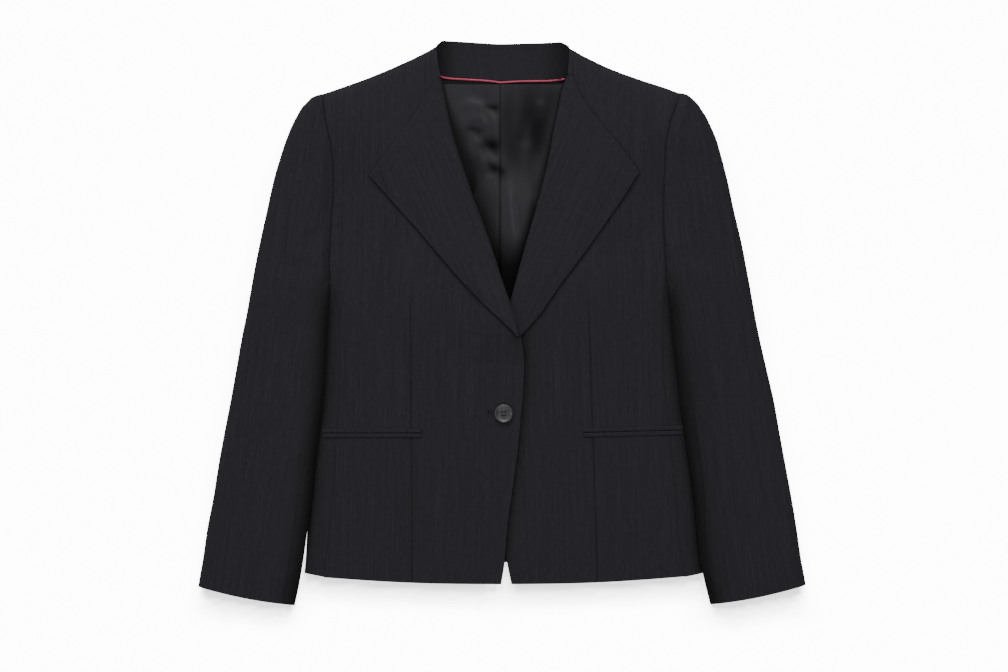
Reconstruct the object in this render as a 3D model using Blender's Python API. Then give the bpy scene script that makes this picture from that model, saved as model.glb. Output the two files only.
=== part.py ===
"""A short single-button suit jacket, laid flat on its back.

Each cut piece is one closed wall of cloth. Tables give the edges of a piece in millimetres,
a row for each section from the neck down to the hem. X runs to the picture's right,
Y towards the neck, Z up from the surface that the jacket lies on.
"right" and "left" are the wearer's sides, so the right front lies at negative X.
"""
import math

import bmesh
import bpy
from mathutils import Vector

MM = 0.001

# cloth thicknesses and the small gap kept between layers
BODY_CLOTH = 1.4
LAPEL_CLOTH = 2.0
BACK_CLOTH = 1.6
SLEEVE_CLOTH = 1.5
LINING_CLOTH = 1.0
LAYER_GAP = 0.8
SEAM_GAP = 0.3

# roundness of the edges
SHOULDER_TURN = 12.0
SIDE_TURN = 10.0
SIDE_TURN_BELOW = 5.0
SLEEVE_TURN = 11.0

BUTTON_RADIUS = 11.0
BUTTON_THICKNESS = 3.2
BUTTON_RIM = 2.2
BUTTON_HOLE_RADIUS = 0.9
BUTTON_HOLE_OFFSET = 1.9
BUTTON_PLACE = (2.0, -105.0)

PIPING_RADIUS = 1.35
PIPING_HEIGHT = 3.55

# height of the outer face of the fronts above the surface, along the length
BODY_HEIGHT = [
    # y_mm, height_mm
    (-330, 7.5),
    (-300, 7.6),
    (-240, 7.9),
    (-170, 8.3),
    (-90, 8.7),
    (-15, 9.2),
    (30, 9.6),
    (90, 10.4),
    (150, 11.6),
    (205, 13.0),
    (250, 13.8),
    (330, 14.0),
]
# soft rises of the fronts: the shoulder pads and the bust
BODY_RISES = [
    # x_mm (both sides), y_mm, reach_mm, rise_mm
    (192, 235, 62, 7.5),
    (100, 40, 60, 2.2),
]

# right front, on top at the button: inner edge, then armhole and side seam
RIGHT_FRONT = [
    # inner_x, inner_y, outer_x, outer_y, edge_bow, lift_mm, lift_from_x
    (-77, 321, -209, 267, -3.5, 0.0, 0),
    (-75, 307, -208, 253, -3.0, 0.0, 0),
    (-72, 292, -206, 240, -2.0, 0.0, 0),
    (-68, 271, -203, 225, -1.0, 0.0, 0),
    (-62, 238, -199, 204, 0.0, 0.0, 0),
    (-53, 206, -197, 180, 0.0, 0.0, 0),
    (-41, 169, -197, 154, 0.0, 0.0, 0),
    (-28, 133, -199, 126, 0.0, 0.0, -40),
    (-15, 98, -201, 94, 0.0, 0.4, -34),
    (-4, 64, -202, 67, 0.0, 2.2, -28),
    (4, 43, -200.8, 48.5, 0.0, 4.6, -22),
    (6.3, 36, -195.0, 41.5, 0.0, 5.5, -18),
    (9, 28, -192, 28, 0.0, 6.6, -14),
    (15, 5, -190, 5, 0.0, 8.1, -16),
    (20.5, -11.5, -190, -13, 0.0, 7.9, -18),
    (22, -14, -190, -16, 0.0, 7.5, -18),
    (26, -45, -190, -45, 0.0, 2.6, -30),
    (25, -78, -191, -78, 0.0, 2.2, -32),
    (22, -113, -192, -113, 0.0, 2.2, -30),
    (18, -153, -195, -153, 0.0, 2.2, -24),
    (12, -197, -198, -197, 0.0, 2.2, -16),
    (6, -241, -202, -241, 0.0, 2.2, -8),
    (3, -279, -207, -279, -1.0, 2.2, -2),
    (-1, -304, -209, -296, -2.5, 2.2, 2),
]
# left front, underneath at the button
LEFT_FRONT = [
    # inner_x, inner_y, outer_x, outer_y, edge_bow, lift_mm, lift_from_x
    (79, 321, 207, 268, -3.5, 0.0, 0),
    (78, 307, 203, 253, -3.0, 0.0, 0),
    (76, 292, 198, 241, -2.0, 0.0, 0),
    (70, 273, 194, 225, -1.0, 0.0, 0),
    (63, 238, 191, 204, 0.0, 0.0, 0),
    (57, 206, 190, 180, 0.0, 0.0, 0),
    (49, 169, 189, 154, 0.0, 0.0, 0),
    (39, 133, 189, 126, 0.0, 0.0, 0),
    (29, 98, 190, 94, 0.0, 0.0, 0),
    (20, 64, 192, 67, 0.0, 0.0, 0),
    (14, 43, 192.8, 48.5, 0.0, 0.0, 0),
    (12.1, 36, 190.6, 41.5, 0.0, 0.0, 0),
    (10, 28, 190, 28, 0.0, 0.0, 0),
    (4, 5, 188, 5, 0.0, 0.0, 0),
    (-2, -13, 188, -16, 0.0, 0.0, 0),
    (1, -24.6, 188, -26, 0.0, 0.0, 0),
    (-12, -27.5, 188, -29, 0.0, 0.0, 0),
    (-21, -45, 189, -45, 0.0, 0.0, 0),
    (-24, -78, 191, -78, 0.0, 0.0, 0),
    (-22, -113, 195, -113, 0.0, 0.0, 0),
    (-16, -153, 199, -153, 0.0, 0.0, 0),
    (-8, -197, 203, -197, 0.0, 0.0, 0),
    (0, -241, 207, -241, 0.0, 0.0, 0),
    (6, -279, 211, -279, -1.0, 0.0, 0),
    (11, -304, 214, -295, -2.5, 0.0, 0),
]

# lapels: outer edge with its point, then the roll line where the cloth turns under
RIGHT_LAPEL = [
    # outer_x, outer_y, roll_x, roll_y, tuck_mm
    (-78, 286, -71, 286, 3.0),
    (-91, 262, -67, 264, 6.0),
    (-106, 239, -62, 239, 10.0),
    (-123, 217, -56, 216, 10.0),
    (-139, 195, -49, 193, 10.0),
    (-156, 173, -41, 169, 10.0),
    (-142, 158, -36, 154, 10.0),
    (-122, 135, -28, 133, 10.0),
    (-99, 110, -18, 106, 10.0),
    (-73, 79, -7, 74, 10.0),
    (-48, 50, 2, 46, 7.0),
    (-20, 21, 11, 21, 4.0),
    (5, -2, 18, -2, 2.0),
    (14, -10, 20.5, -11, 1.0),
]
LEFT_LAPEL = [
    # outer_x, outer_y, roll_x, roll_y, tuck_mm
    (84, 289, 76, 290, 3.0),
    (90, 271, 70, 273, 6.0),
    (103, 249, 65, 248, 10.0),
    (122, 227, 60, 224, 10.0),
    (141, 203, 56, 201, 10.0),
    (161, 177, 51, 177, 10.0),
    (140, 144, 42, 142, 10.0),
    (117, 111, 33, 111, 10.0),
    (94, 79, 24, 79, 10.0),
    (69, 46, 15, 46, 8.0),
    (46, 12, 6, 12, 5.0),
    (23, -14, -2, -13, 3.0),
    (13, -25, 1, -24, 1.0),
]

# side folds of the body, below the armhole, under the sleeves
SIDE_PANELS = [
    # y_mm, right_seam_x, right_edge_x, left_seam_x, left_edge_x
    (39, -194.4, -215, 190.5, 213),
    (28, -192, -215, 190, 212),
    (5, -190, -215, 188, 212),
    (-16, -190, -214, 188, 213),
    (-45, -190, -214, 189, 214),
    (-78, -191, -214.5, 191, 214),
    (-113, -192, -216, 195, 217),
    (-153, -195, -220, 199, 220.5),
    (-197, -198, -223.5, 203, 225.5),
    (-241, -202, -228, 207, 230),
    (-279, -207, -230, 211, 234),
    (-295.5, -209, -230, 214, 235),
]
BACK_SEAM_INSET = 34.0

# back: the outline from the right shoulder over the neck to the left shoulder
BACK_TOP = [
    # x_mm, y_mm, rise_mm, turn_mm
    (-208, 267.5, 9.5, 12),
    (-181, 275.5, 8.5, 12),
    (-151, 286.5, 7.8, 12),
    (-126, 295.5, 7.2, 12),
    (-102, 306.5, 6.9, 12),
    (-79, 320.5, 6.6, 12),
    (-69, 328.5, 1.6, 14),
    (-26, 326.5, 1.6, 14),
    (11, 324.5, 1.6, 14),
    (47, 326.0, 1.6, 14),
    (69, 327.0, 1.6, 14),
    (80, 320.5, 6.6, 12),
    (100, 308.5, 6.9, 12),
    (131, 294.5, 7.4, 12),
    (163, 283.5, 8.2, 12),
    (194, 273.5, 9.0, 12),
    (206, 268.5, 9.5, 12),
]
BACK_SIDES = [
    # right_x, left_x, y_mm, share_of_top_shape
    (-208, 203, 253, 0.93),
    (-206, 198, 240, 0.80),
    (-203, 194, 225, 0.62),
    (-199, 191, 204, 0.40),
    (-197, 190, 180, 0.20),
    (-197, 189, 154, 0.0),
    (-199, 189, 126, 0.0),
    (-201, 190, 94, 0.0),
    (-202, 192, 67, 0.0),
    (-202, 193, 45, 0.0),
]

# neck facing: edges along the top and along the piping
FACING = [
    # top_x, top_y, lower_x, lower_y, rise_mm
    (-76.4, 321.0, -70.9, 292.5, 9.4),
    (-73.8, 324.0, -68.6, 290.6, 5.6),
    (-69.5, 327.6, -65.0, 289.8, 2.6),
    (-62.0, 327.9, -59.0, 289.2, 0.8),
    (-45.0, 327.4, -44.0, 288.2, 0.2),
    (-26.0, 326.4, -26.0, 287.2, 0.0),
    (0.0, 324.9, 0.0, 284.8, 0.0),
    (29.0, 325.4, 29.0, 286.0, 0.0),
    (45.0, 325.9, 45.0, 286.0, 0.6),
    (58.0, 326.6, 57.0, 286.6, 2.0),
    (67.0, 326.8, 65.5, 287.6, 4.4),
    (73.5, 324.0, 71.0, 289.6, 7.0),
    (78.4, 321.0, 75.2, 292.5, 9.4),
]
PIPING = [
    # x_mm, y_mm, rise_mm
    (-72.0, 289.4, 3.2),
    (-68.5, 288.4, 1.5),
    (-63, 287.5, 0.4),
    (-26, 285.3, 0.0),
    (-10, 283.8, 0.0),
    (-1, 282.7, 0.0),
    (12, 283.6, 0.0),
    (29, 284.2, 0.0),
    (53, 284.5, 0.0),
    (65, 285.6, 0.6),
    (70, 287.0, 2.2),
    (73.5, 288.2, 3.6),
]
LINING = [
    # y_mm, right_x, seam_x, left_x
    (280.5, -72, -1.6, 73),
    (250.0, -72, -2.0, 74),
    (206.0, -66, -2.0, 70),
    (169.0, -56, -2.2, 62),
    (133.0, -44, -2.4, 52),
    (98.0, -32, -2.6, 42),
    (64.0, -22, -3.0, 33),
    (40.0, -14, -2.0, 26),
    (20.0, -8, 4.0, 20),
]

# sleeves: outer fold, then the armhole seam or, below the armpit, the inner fold
RIGHT_SLEEVE = [
    # outer_x, outer_y, inner_x, inner_y, floor, height, fold, seam_in, bow
    (-217, 266, -210, 265, 6.8, 11.6, 0, 0, 0),
    (-223, 263, -209.3, 259, 3.4, 15.6, 0, 0, 0),
    (-229, 257, -208.6, 252, 1.2, 18.4, 0, 0, 0),
    (-234, 252, -207, 244, 0.3, 19.8, 0, 0, 0),
    (-240, 242, -205, 232, 0, 20.6, 0, 0, 0),
    (-246, 231, -202, 218, 0, 20.6, 0, 0, 0),
    (-253, 214, -199, 202, 0, 20.0, 0, 0, 0),
    (-259, 196, -197, 183, 0, 19.0, 0, 0, 0),
    (-267, 169, -197, 156, 0, 17.6, 0, 0, 0),
    (-276, 129, -199, 126, 0, 15.6, 0, 0, 0),
    (-284, 93, -201, 94, 0, 14.4, 0, 0, 0),
    (-290, 63, -202, 67, 0, 13.6, 0, 0, 0),
    (-293, 46, -202, 48, 0, 13.2, 0, 0, 0),
    (-294, 41, -202, 43, 0, 13.0, 4.0, 2, 0),
    (-299, 12, -203, 14, 0, 12.4, 5.0, 4, 0),
    (-305, -17, -205, -21, 0, 11.8, 6.2, 9, 0),
    (-312, -57, -207, -61, 0, 11.2, 6.8, 14, 0),
    (-318, -90, -210, -95, 0, 10.8, 7.2, 16, 0),
    (-325, -126, -214, -124, 0, 10.4, 7.2, 17, 0),
    (-332, -164, -219, -163, 0, 10.2, 7.2, 17, 0.5),
    (-338, -202, -223, -204, 0, 10.0, 7.4, 16, 1.0),
    (-345, -238, -229, -241, 0, 9.8, 7.6, 16, 1.5),
    (-350, -272, -234, -272, 0, 9.6, 7.6, 15, 2.0),
    (-354, -294, -239, -300, 0, 9.4, 7.6, 14, 2.5),
    (-356, -307, -244, -327, 0, 9.2, 7.4, 13, 3.0),
]
LEFT_SLEEVE = [
    # outer_x, outer_y, inner_x, inner_y, floor, height, fold, seam_in, bow
    (213, 267, 207, 266, 6.8, 11.6, 0, 0, 0),
    (218, 265, 205.8, 260, 3.4, 15.6, 0, 0, 0),
    (224, 260, 203.8, 253, 1.2, 18.4, 0, 0, 0),
    (229, 255, 200.6, 245, 0.3, 19.8, 0, 0, 0),
    (236, 245, 196.8, 232, 0, 20.6, 0, 0, 0),
    (242, 235, 193.8, 218, 0, 20.6, 0, 0, 0),
    (250, 218, 191.5, 202, 0, 20.0, 0, 0, 0),
    (255, 202, 190.3, 183, 0, 19.0, 0, 0, 0),
    (264, 168, 189.3, 156, 0, 17.6, 0, 0, 0),
    (272, 131, 189.3, 126, 0, 15.6, 0, 0, 0),
    (281, 93, 190.3, 94, 0, 14.4, 0, 0, 0),
    (287, 62, 192.3, 67, 0, 13.6, 0, 0, 0),
    (290, 46, 193.3, 48, 0, 13.2, 0, 0, 0),
    (291, 41, 194, 43, 0, 13.0, 4.0, 2, 0),
    (296, 12, 197, 12, 0, 12.4, 5.0, 4, 0),
    (302, -18, 200, -21, 0, 11.8, 6.2, 9, 0),
    (311, -57, 205, -61, 0, 11.2, 6.8, 13, 0),
    (319, -92, 209, -95, 0, 10.8, 7.2, 14, 0),
    (325, -126, 214, -127, 0, 10.4, 7.2, 14, 0),
    (332, -164, 219, -163, 0, 10.2, 7.2, 14, 0.5),
    (339, -202, 225, -204, 0, 10.0, 7.4, 12, 1.0),
    (345, -238, 230, -241, 0, 9.8, 7.6, 10, 1.5),
    (350, -272, 234, -272, 0, 9.6, 7.6, 8, 2.0),
    (354, -293, 239, -298, 0, 9.4, 7.6, 7, 2.5),
    (356, -305, 244, -326, 0, 9.2, 7.4, 6, 3.0),
]
ELBOW_SEAM_IN = 18.0
BACK_ARMHOLE_GAP = 1.2

# jetted pockets: two narrow welts on each side, one above the other
POCKETS = [
    # name, inner_x, outer_x, inner_y, outer_y
    ("right", -94, -210, -128, -128),
    ("left", 95, 211, -127.5, -124.5),
]
WELT_HEIGHT = 5.4
WELT_THICKNESS = 1.1


def interpolate(table, at):
    """Value of a two-column table at a place between its rows."""
    if at <= table[0][0]:
        return table[0][1]
    for (low, low_value), (high, high_value) in zip(table, table[1:]):
        if at <= high:
            share = (at - low) / (high - low)
            share = share * share * (3 - 2 * share) * 0.35 + share * 0.65
            return low_value + (high_value - low_value) * share
    return table[-1][1]


def smooth(share):
    share = min(1.0, max(0.0, share))
    return share * share * (3 - 2 * share)


def quarter(share):
    """Rise of a rounded edge: nought at the edge, one where it has levelled out."""
    share = min(1.0, max(0.0, share))
    return math.sqrt(1 - (1 - share) ** 2)


def body_height(x, y):
    height = interpolate(BODY_HEIGHT, y)
    for centre_x, centre_y, reach, rise in BODY_RISES:
        away = math.hypot(abs(x) - centre_x, y - centre_y) / reach
        height += rise * math.exp(-away * away)
    return height


def blend(first, second, share):
    return first + (second - first) * share


def table_row(table, y, column):
    """Values of a table at height y; the column gives y and falls from row to row."""
    if y >= table[0][column]:
        return table[0]
    for upper, lower in zip(table, table[1:]):
        if y >= lower[column]:
            share = (upper[column] - y) / (upper[column] - lower[column])
            return tuple(blend(a, b, share) for a, b in zip(upper, lower))
    return table[-1]


def side_values(side, y):
    """Seam x and fold x of the body's side at height y."""
    row = table_row(SIDE_PANELS, y, 0)
    if side < 0:
        return row[1], row[2]
    return row[3], row[4]


def lift_at(x, y, table):
    """How far the front rises over the layers that lie under its inner edge."""
    row = table_row(table, y, 1)
    if row[5] == 0.0:
        return 0.0
    return row[5] * smooth((x - (row[6] - 22)) / 22)


def front_top(x, y, side):
    """Height of a front's outer face, with the turned side edge below the armhole."""
    if side < 0:
        height = body_height(x, y) + lift_at(x, y, RIGHT_FRONT)
    else:
        height = body_height(x, y)
    if y < 39:
        edge = abs(side_values(side, y)[1])
        middle = height / 2
        height = middle + (height - middle) * quarter((edge - abs(x)) / SIDE_TURN)
    return height


def cloth_material(name, colour, roughness, sheen):
    material = bpy.data.materials.new(name)
    material.use_nodes = True
    shader = material.node_tree.nodes["Principled BSDF"]
    shader.inputs["Base Color"].default_value = (*colour, 1.0)
    shader.inputs["Roughness"].default_value = roughness
    shader.inputs["Metallic"].default_value = 0.0
    shader.inputs["Sheen Weight"].default_value = sheen
    return material


def add_object(name, bm, look):
    for vertex in bm.verts:
        vertex.co *= MM
    bmesh.ops.triangulate(bm, faces=bm.faces[:])
    bmesh.ops.recalc_face_normals(bm, faces=bm.faces[:])
    mesh = bpy.data.meshes.new(name)
    bm.to_mesh(mesh)
    bm.free()
    piece = bpy.data.objects.new(name, mesh)
    bpy.context.scene.collection.objects.link(piece)
    mesh.materials.append(cloth_material(name, *look))
    return piece


def cloth_wall(name, outer, inner, look):
    """Close two matching grids of points into one wall of cloth."""
    bm = bmesh.new()
    skins = []
    for grid in (outer, inner):
        skins.append([[bm.verts.new(Vector(point)) for point in row] for row in grid])
    face, back = skins
    rows, columns = len(outer), len(outer[0])
    for i in range(rows - 1):
        for j in range(columns - 1):
            bm.faces.new((face[i][j], face[i][j + 1], face[i + 1][j + 1], face[i + 1][j]))
            bm.faces.new((back[i][j], back[i + 1][j], back[i + 1][j + 1], back[i][j + 1]))
    for i in range(rows - 1):
        for j in (0, columns - 1):
            bm.faces.new((face[i][j], face[i + 1][j], back[i + 1][j], back[i][j]))
    for j in range(columns - 1):
        for i in (0, rows - 1):
            bm.faces.new((face[i][j], face[i][j + 1], back[i][j + 1], back[i][j]))
    return add_object(name, bm, look)


def steps(count):
    return [i / (count - 1) for i in range(count)]


def front_grid(table, side, inset):
    """Points of a front panel, outer face for inset 0 and inner face for the cloth's thickness."""
    columns = [0.0, 0.035, 0.10, 0.19, 0.30, 0.42, 0.54, 0.66, 0.78, 0.89, 1.0]
    grid = []
    top = table[0]
    below = table[1]
    for turn in (0, 25, 50, 75):
        angle = math.radians(turn)
        share = (1 - math.cos(angle)) * SHOULDER_TURN / 14.0
        row = [blend(a, b, share) for a, b in zip(top, below)]
        points = []
        for column in columns:
            x = blend(row[0], row[2], column)
            y = blend(row[1], row[3], column) + row[4] * math.sin(math.pi * column)
            height = front_top(x, y, side)
            middle = height / 2 + SEAM_GAP
            back_off = inset * math.cos(angle)
            z = middle + (height - middle - inset) * math.sin(angle)
            points.append((x, y - back_off, z))
        grid.append(points)
    for row in table[1:]:
        points = []
        for column in columns:
            x = blend(row[0], row[2], column)
            y = blend(row[1], row[3], column) + row[4] * math.sin(math.pi * column)
            points.append((x, y, front_top(x, y, side) - inset))
        grid.append(points)
    return tuck_front_edges(grid, table, side)


def tuck_front_edges(grid, table, side):
    """Draw the front's edge back inside the lapel's roll, and the outer edge back by the seam."""
    lapel = RIGHT_LAPEL if side < 0 else LEFT_LAPEL
    top_y, low_y = lapel[0][3] + 8, lapel[-1][3] - 1
    turned_in = 5.6
    for points in grid:
        y = points[0][1]
        if low_y < y < top_y:
            share = smooth((top_y - y) / 7)
            first = points[0]
            points[0] = (first[0] + side * turned_in * share, first[1], first[2])
            if abs(points[1][0] - points[0][0]) < 1.5 or side * (points[1][0] - points[0][0]) < 1.5:
                points[1] = (points[0][0] + side * 1.8, points[1][1], points[1][2])
        last = points[-1]
        points[-1] = (last[0] - side * SEAM_GAP / 2, last[1], last[2])
    return grid


def build_front(name, table, side, look):
    cloth_wall(name, front_grid(table, side, 0.0), front_grid(table, side, BODY_CLOTH), look)


def lapel_grid(table, side, inset):
    """Lapel face, rolled over the front's edge and tucked under it."""
    grid = []
    face_shares = [0.0, 0.12, 0.3, 0.5, 0.72, 1.0]
    for outer_x, outer_y, roll_x, roll_y, tuck in table:
        rise = LAYER_GAP + LAPEL_CLOTH
        drop = BODY_CLOTH + LAYER_GAP + LAPEL_CLOTH
        radius = (rise + drop) / 2
        centre_x = roll_x + side * radius
        base = front_top(centre_x, roll_y, side)
        centre_z = base + rise - radius
        points = []
        for share in face_shares:
            x = blend(outer_x, centre_x, share)
            y = blend(outer_y, roll_y, share)
            swell = math.sin(math.pi * min(1.0, share * 1.2)) * abs(outer_x - roll_x) / 110
            points.append((x, y, front_top(x, y, side) + rise + swell - inset))
        for turn in (60, 30, 0, -30, -60, -90):
            angle = math.radians(turn)
            reach = radius - inset
            x = centre_x - side * reach * math.cos(angle)
            points.append((x, roll_y, centre_z + reach * math.sin(angle)))
        x = centre_x + side * tuck
        points.append((x, roll_y, front_top(x, roll_y, side) - drop + inset))
        grid.append(points)
    return grid


def build_lapel(name, table, side, look):
    cloth_wall(name, lapel_grid(table, side, 0.0), lapel_grid(table, side, LAPEL_CLOTH), look)


def side_grid(side, inset):
    """Side panel: from the front seam over the side fold to the back seam."""
    grid = []
    for row in SIDE_PANELS:
        y = row[0]
        seam_x, edge_x = (row[1], row[2]) if side < 0 else (row[3], row[4])
        seam = abs(seam_x) + SEAM_GAP / 2
        edge = abs(edge_x)
        height = body_height(edge, y)
        middle = height / 2
        points = []
        start = edge - SIDE_TURN
        for share in (0.0, 0.5, 1.0):
            x = blend(seam, start, share)
            points.append((side * x, y, front_top(side * x, y, side) - inset))
        for turn in (62, 35, 0):
            angle = math.radians(turn)
            x = start + (SIDE_TURN - inset) * math.cos(angle)
            points.append((side * x, y, middle + (height - middle - inset) * math.sin(angle)))
        for turn in (-35, -65, -90):
            angle = math.radians(turn)
            x = edge - SIDE_TURN_BELOW + (SIDE_TURN_BELOW - inset) * math.cos(angle)
            points.append((side * x, y, middle + (middle - inset) * math.sin(angle)))
        points.append((side * (edge - BACK_SEAM_INSET + SEAM_GAP), y, inset))
        grid.append(points)
    return grid


def build_side(name, side, look):
    cloth_wall(name, side_grid(side, 0.0), side_grid(side, BODY_CLOTH), look)


def back_grid(inset):
    """The back lies flat, and turns up at the shoulders and at the neck."""
    grid = []
    first = BACK_TOP[0]
    last = BACK_TOP[-1]
    shares = [(row[0] - first[0]) / (last[0] - first[0]) for row in BACK_TOP]
    shape = [row[1] - blend(first[1], last[1], share) for row, share in zip(BACK_TOP, shares)]
    for turn in (0, 28, 56, 90):
        angle = math.radians(turn)
        points = []
        for x, y, rise, reach in BACK_TOP:
            along = reach - (reach - inset) * math.cos(angle)
            points.append((x, y - along, rise - (rise - inset) * math.sin(angle)))
        grid.append(points)
    sides = list(BACK_SIDES)
    for row in SIDE_PANELS:
        sides.append((row[2] + BACK_SEAM_INSET, row[4] - BACK_SEAM_INSET, row[0], 0.0))
    for right_x, left_x, y, left_over in sides:
        points = []
        for share, height in zip(shares, shape):
            points.append((blend(right_x, left_x, share), y + height * left_over, inset))
        grid.append(points)
    return grid


def facing_grid(inset):
    """Band inside the back neck, turned up at both ends to meet the fronts."""
    grid = []
    for share in (0.0, 0.12, 0.35, 0.65, 1.0):
        points = []
        for top_x, top_y, lower_x, lower_y, rise in FACING:
            x = blend(top_x, lower_x, share)
            y = blend(top_y, lower_y, share)
            z = 3.7 + rise + 1.3 * (1 - share) ** 2
            points.append((x, y, z - inset))
        grid.append(points)
    return grid


def lining_grid(side, inset):
    """Half of the lining that shows in the neck opening."""
    grid = []
    for y, right_x, seam_x, left_x in LINING:
        outer_x = right_x if side < 0 else left_x
        points = []
        for share in (0.0, 0.25, 0.5, 0.75, 1.0):
            x = blend(seam_x + side * SEAM_GAP / 2, outer_x, share)
            points.append((x, y, BACK_CLOTH + SEAM_GAP + LINING_CLOTH - inset))
        grid.append(points)
    return grid


def sleeve_lift(x, y, side, softness):
    """Height that a sleeve gains where it lies over the body's side fold."""
    edge = abs(side_values(side, y)[1])
    inside = edge - abs(x)
    crest = body_height(edge - 2, y) / 2 * (1 + quarter(max(inside, 1.8) / SIDE_TURN)) + 0.6
    return crest * smooth((inside + softness) / (softness + 1.5))


def sleeve_section(row, side, inset, fractions, lower):
    """Outer fold at share 0, inner edge at share 1; upper or lower skin of one section."""
    outer_x, outer_y, inner_x, inner_y, floor, height, fold, seam_in, bow = row
    width = math.hypot(outer_x - inner_x, outer_y - inner_y)
    turn = min(SLEEVE_TURN, width * 0.45)
    middle = blend(floor, height, 0.45)
    points = []
    for share in fractions:
        along = blend(inset, width - (inset if fold else 0.0), share)
        from_outer = along - inset
        outer_round = quarter(from_outer / (turn - inset))
        x = blend(outer_x, inner_x, along / width)
        y = blend(outer_y, inner_y, along / width) - bow * math.sin(math.pi * along / width)
        sag = 1.6 * math.sin(math.pi * along / width) ** 2 if fold else 0.0
        if lower:
            z = middle - (middle - floor - inset) * outer_round
            if fold:
                z = max(z, sleeve_lift(x, y, side, 9.0) + inset)
                centre = sleeve_lift(inner_x, inner_y, side, 9.0) + fold * 0.45
                z = blend(centre, z, quarter((width - inset - along) / 4.5))
        else:
            if fold:
                inner_top = sleeve_lift(inner_x, inner_y, side, 9.0) + fold
                reach = smooth((along - (width - 42)) / 36)
                top = blend(height - sag, inner_top, reach)
                centre = sleeve_lift(inner_x, inner_y, side, 9.0) + fold * 0.45
                top = blend(centre + inset, top, quarter((width - inset - along) / 6.5))
            else:
                seam_top = front_top(inner_x, inner_y, side)
                cap = smooth((inner_y - 70) / 90)
                reach = blend(8.0, 24.0, cap)
                puff = 1.8 * cap * math.sin(math.pi * smooth((width - along) / 26.0))
                top = blend(height, seam_top, smooth((along - (width - reach)) / reach)) + puff
            z = middle + (top - middle - inset) * outer_round
        points.append((x, y, z))
    return points


def top_sleeve_grid(table, side, inset):
    """Top sleeve: from the seam underneath, over the outer fold, to the armhole or front seam."""
    grid = []
    for row in table:
        width = math.hypot(row[0] - row[2], row[1] - row[3])
        fold = row[6]
        under_end = (ELBOW_SEAM_IN / width) if fold else 1.0 - BACK_ARMHOLE_GAP / width
        below = [under_end * share for share in (1.0, 0.72, 0.46, 0.26, 0.1, 0.03)]
        seam = 1.0 - (row[7] + SEAM_GAP) / width if fold else 1.0 - SEAM_GAP / width
        over = (0.0, 0.02, 0.055, 0.12, 0.24, 0.4, 0.56, 0.72, 0.86, 0.95, 1.0)
        above = [seam * share for share in over]
        points = sleeve_section(row, side, inset, below, True)
        points += sleeve_section(row, side, inset, above, False)
        grid.append(points)
    return grid


def under_sleeve_grid(table, side, inset):
    """Under sleeve: flat below, then round the inner fold to the front seam on top."""
    grid = []
    for row in table:
        if not row[6]:
            continue
        width = math.hypot(row[0] - row[2], row[1] - row[3])
        start = (ELBOW_SEAM_IN + SEAM_GAP + 0.2) / width
        flat = (0.0, 0.25, 0.5, 0.66, 0.76, 0.84, 0.9, 0.95, 0.98, 1.0)
        below = [blend(start, 1.0, share) for share in flat]
        seam = 1.0 - row[7] / width
        above = [blend(1.0, seam, share) for share in (0.12, 0.35, 0.65, 1.0)]
        points = sleeve_section(row, side, inset, below, True)
        points += sleeve_section(row, side, inset, above, False)
        grid.append(points)
    return grid


def build_sleeve(word, table, side, look):
    upper = [top_sleeve_grid(table, side, inset) for inset in (0.0, SLEEVE_CLOTH)]
    cloth_wall("top_sleeve_" + word, upper[0], upper[1], look)
    under = [under_sleeve_grid(table, side, inset) for inset in (0.0, SLEEVE_CLOTH)]
    cloth_wall("under_sleeve_" + word, under[0], under[1], look)


def welt_grid(pocket, side, upper, inset):
    """One welt: a folded strip lying on the front and the side panel."""
    inner_x, outer_x, inner_y, outer_y = pocket[1:]
    grid = []
    offsets = (0.35, 1.6, WELT_HEIGHT - 1.2, WELT_HEIGHT)
    rounding = (0.35, 0.0, 0.0, 0.3)
    for away, lower in zip(offsets, rounding):
        offset = away if upper else -away
        points = []
        for share in steps(11):
            x = blend(inner_x, outer_x, share)
            y = blend(inner_y, outer_y, share) + offset
            z = front_top(x, y, side) + SEAM_GAP + WELT_THICKNESS
            points.append((x, y, z - lower if inset == 0.0 else z - inset))
        grid.append(points)
    return grid


def build_piping(name, look):
    """A thin cord sewn between the facing and the lining."""
    bm = bmesh.new()
    rings = []
    sides = 8
    for x, y, rise in PIPING:
        ring = []
        for k in range(sides):
            angle = 2 * math.pi * k / sides
            z = PIPING_HEIGHT + rise + PIPING_RADIUS * math.sin(angle)
            ring.append(bm.verts.new(Vector((x, y + PIPING_RADIUS * math.cos(angle), z))))
        rings.append(ring)
    for ring, following in zip(rings, rings[1:]):
        for k in range(sides):
            after = (k + 1) % sides
            bm.faces.new((ring[k], ring[after], following[after], following[k]))
    bm.faces.new(rings[0])
    bm.faces.new(rings[-1])
    add_object(name, bm, look)


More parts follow.
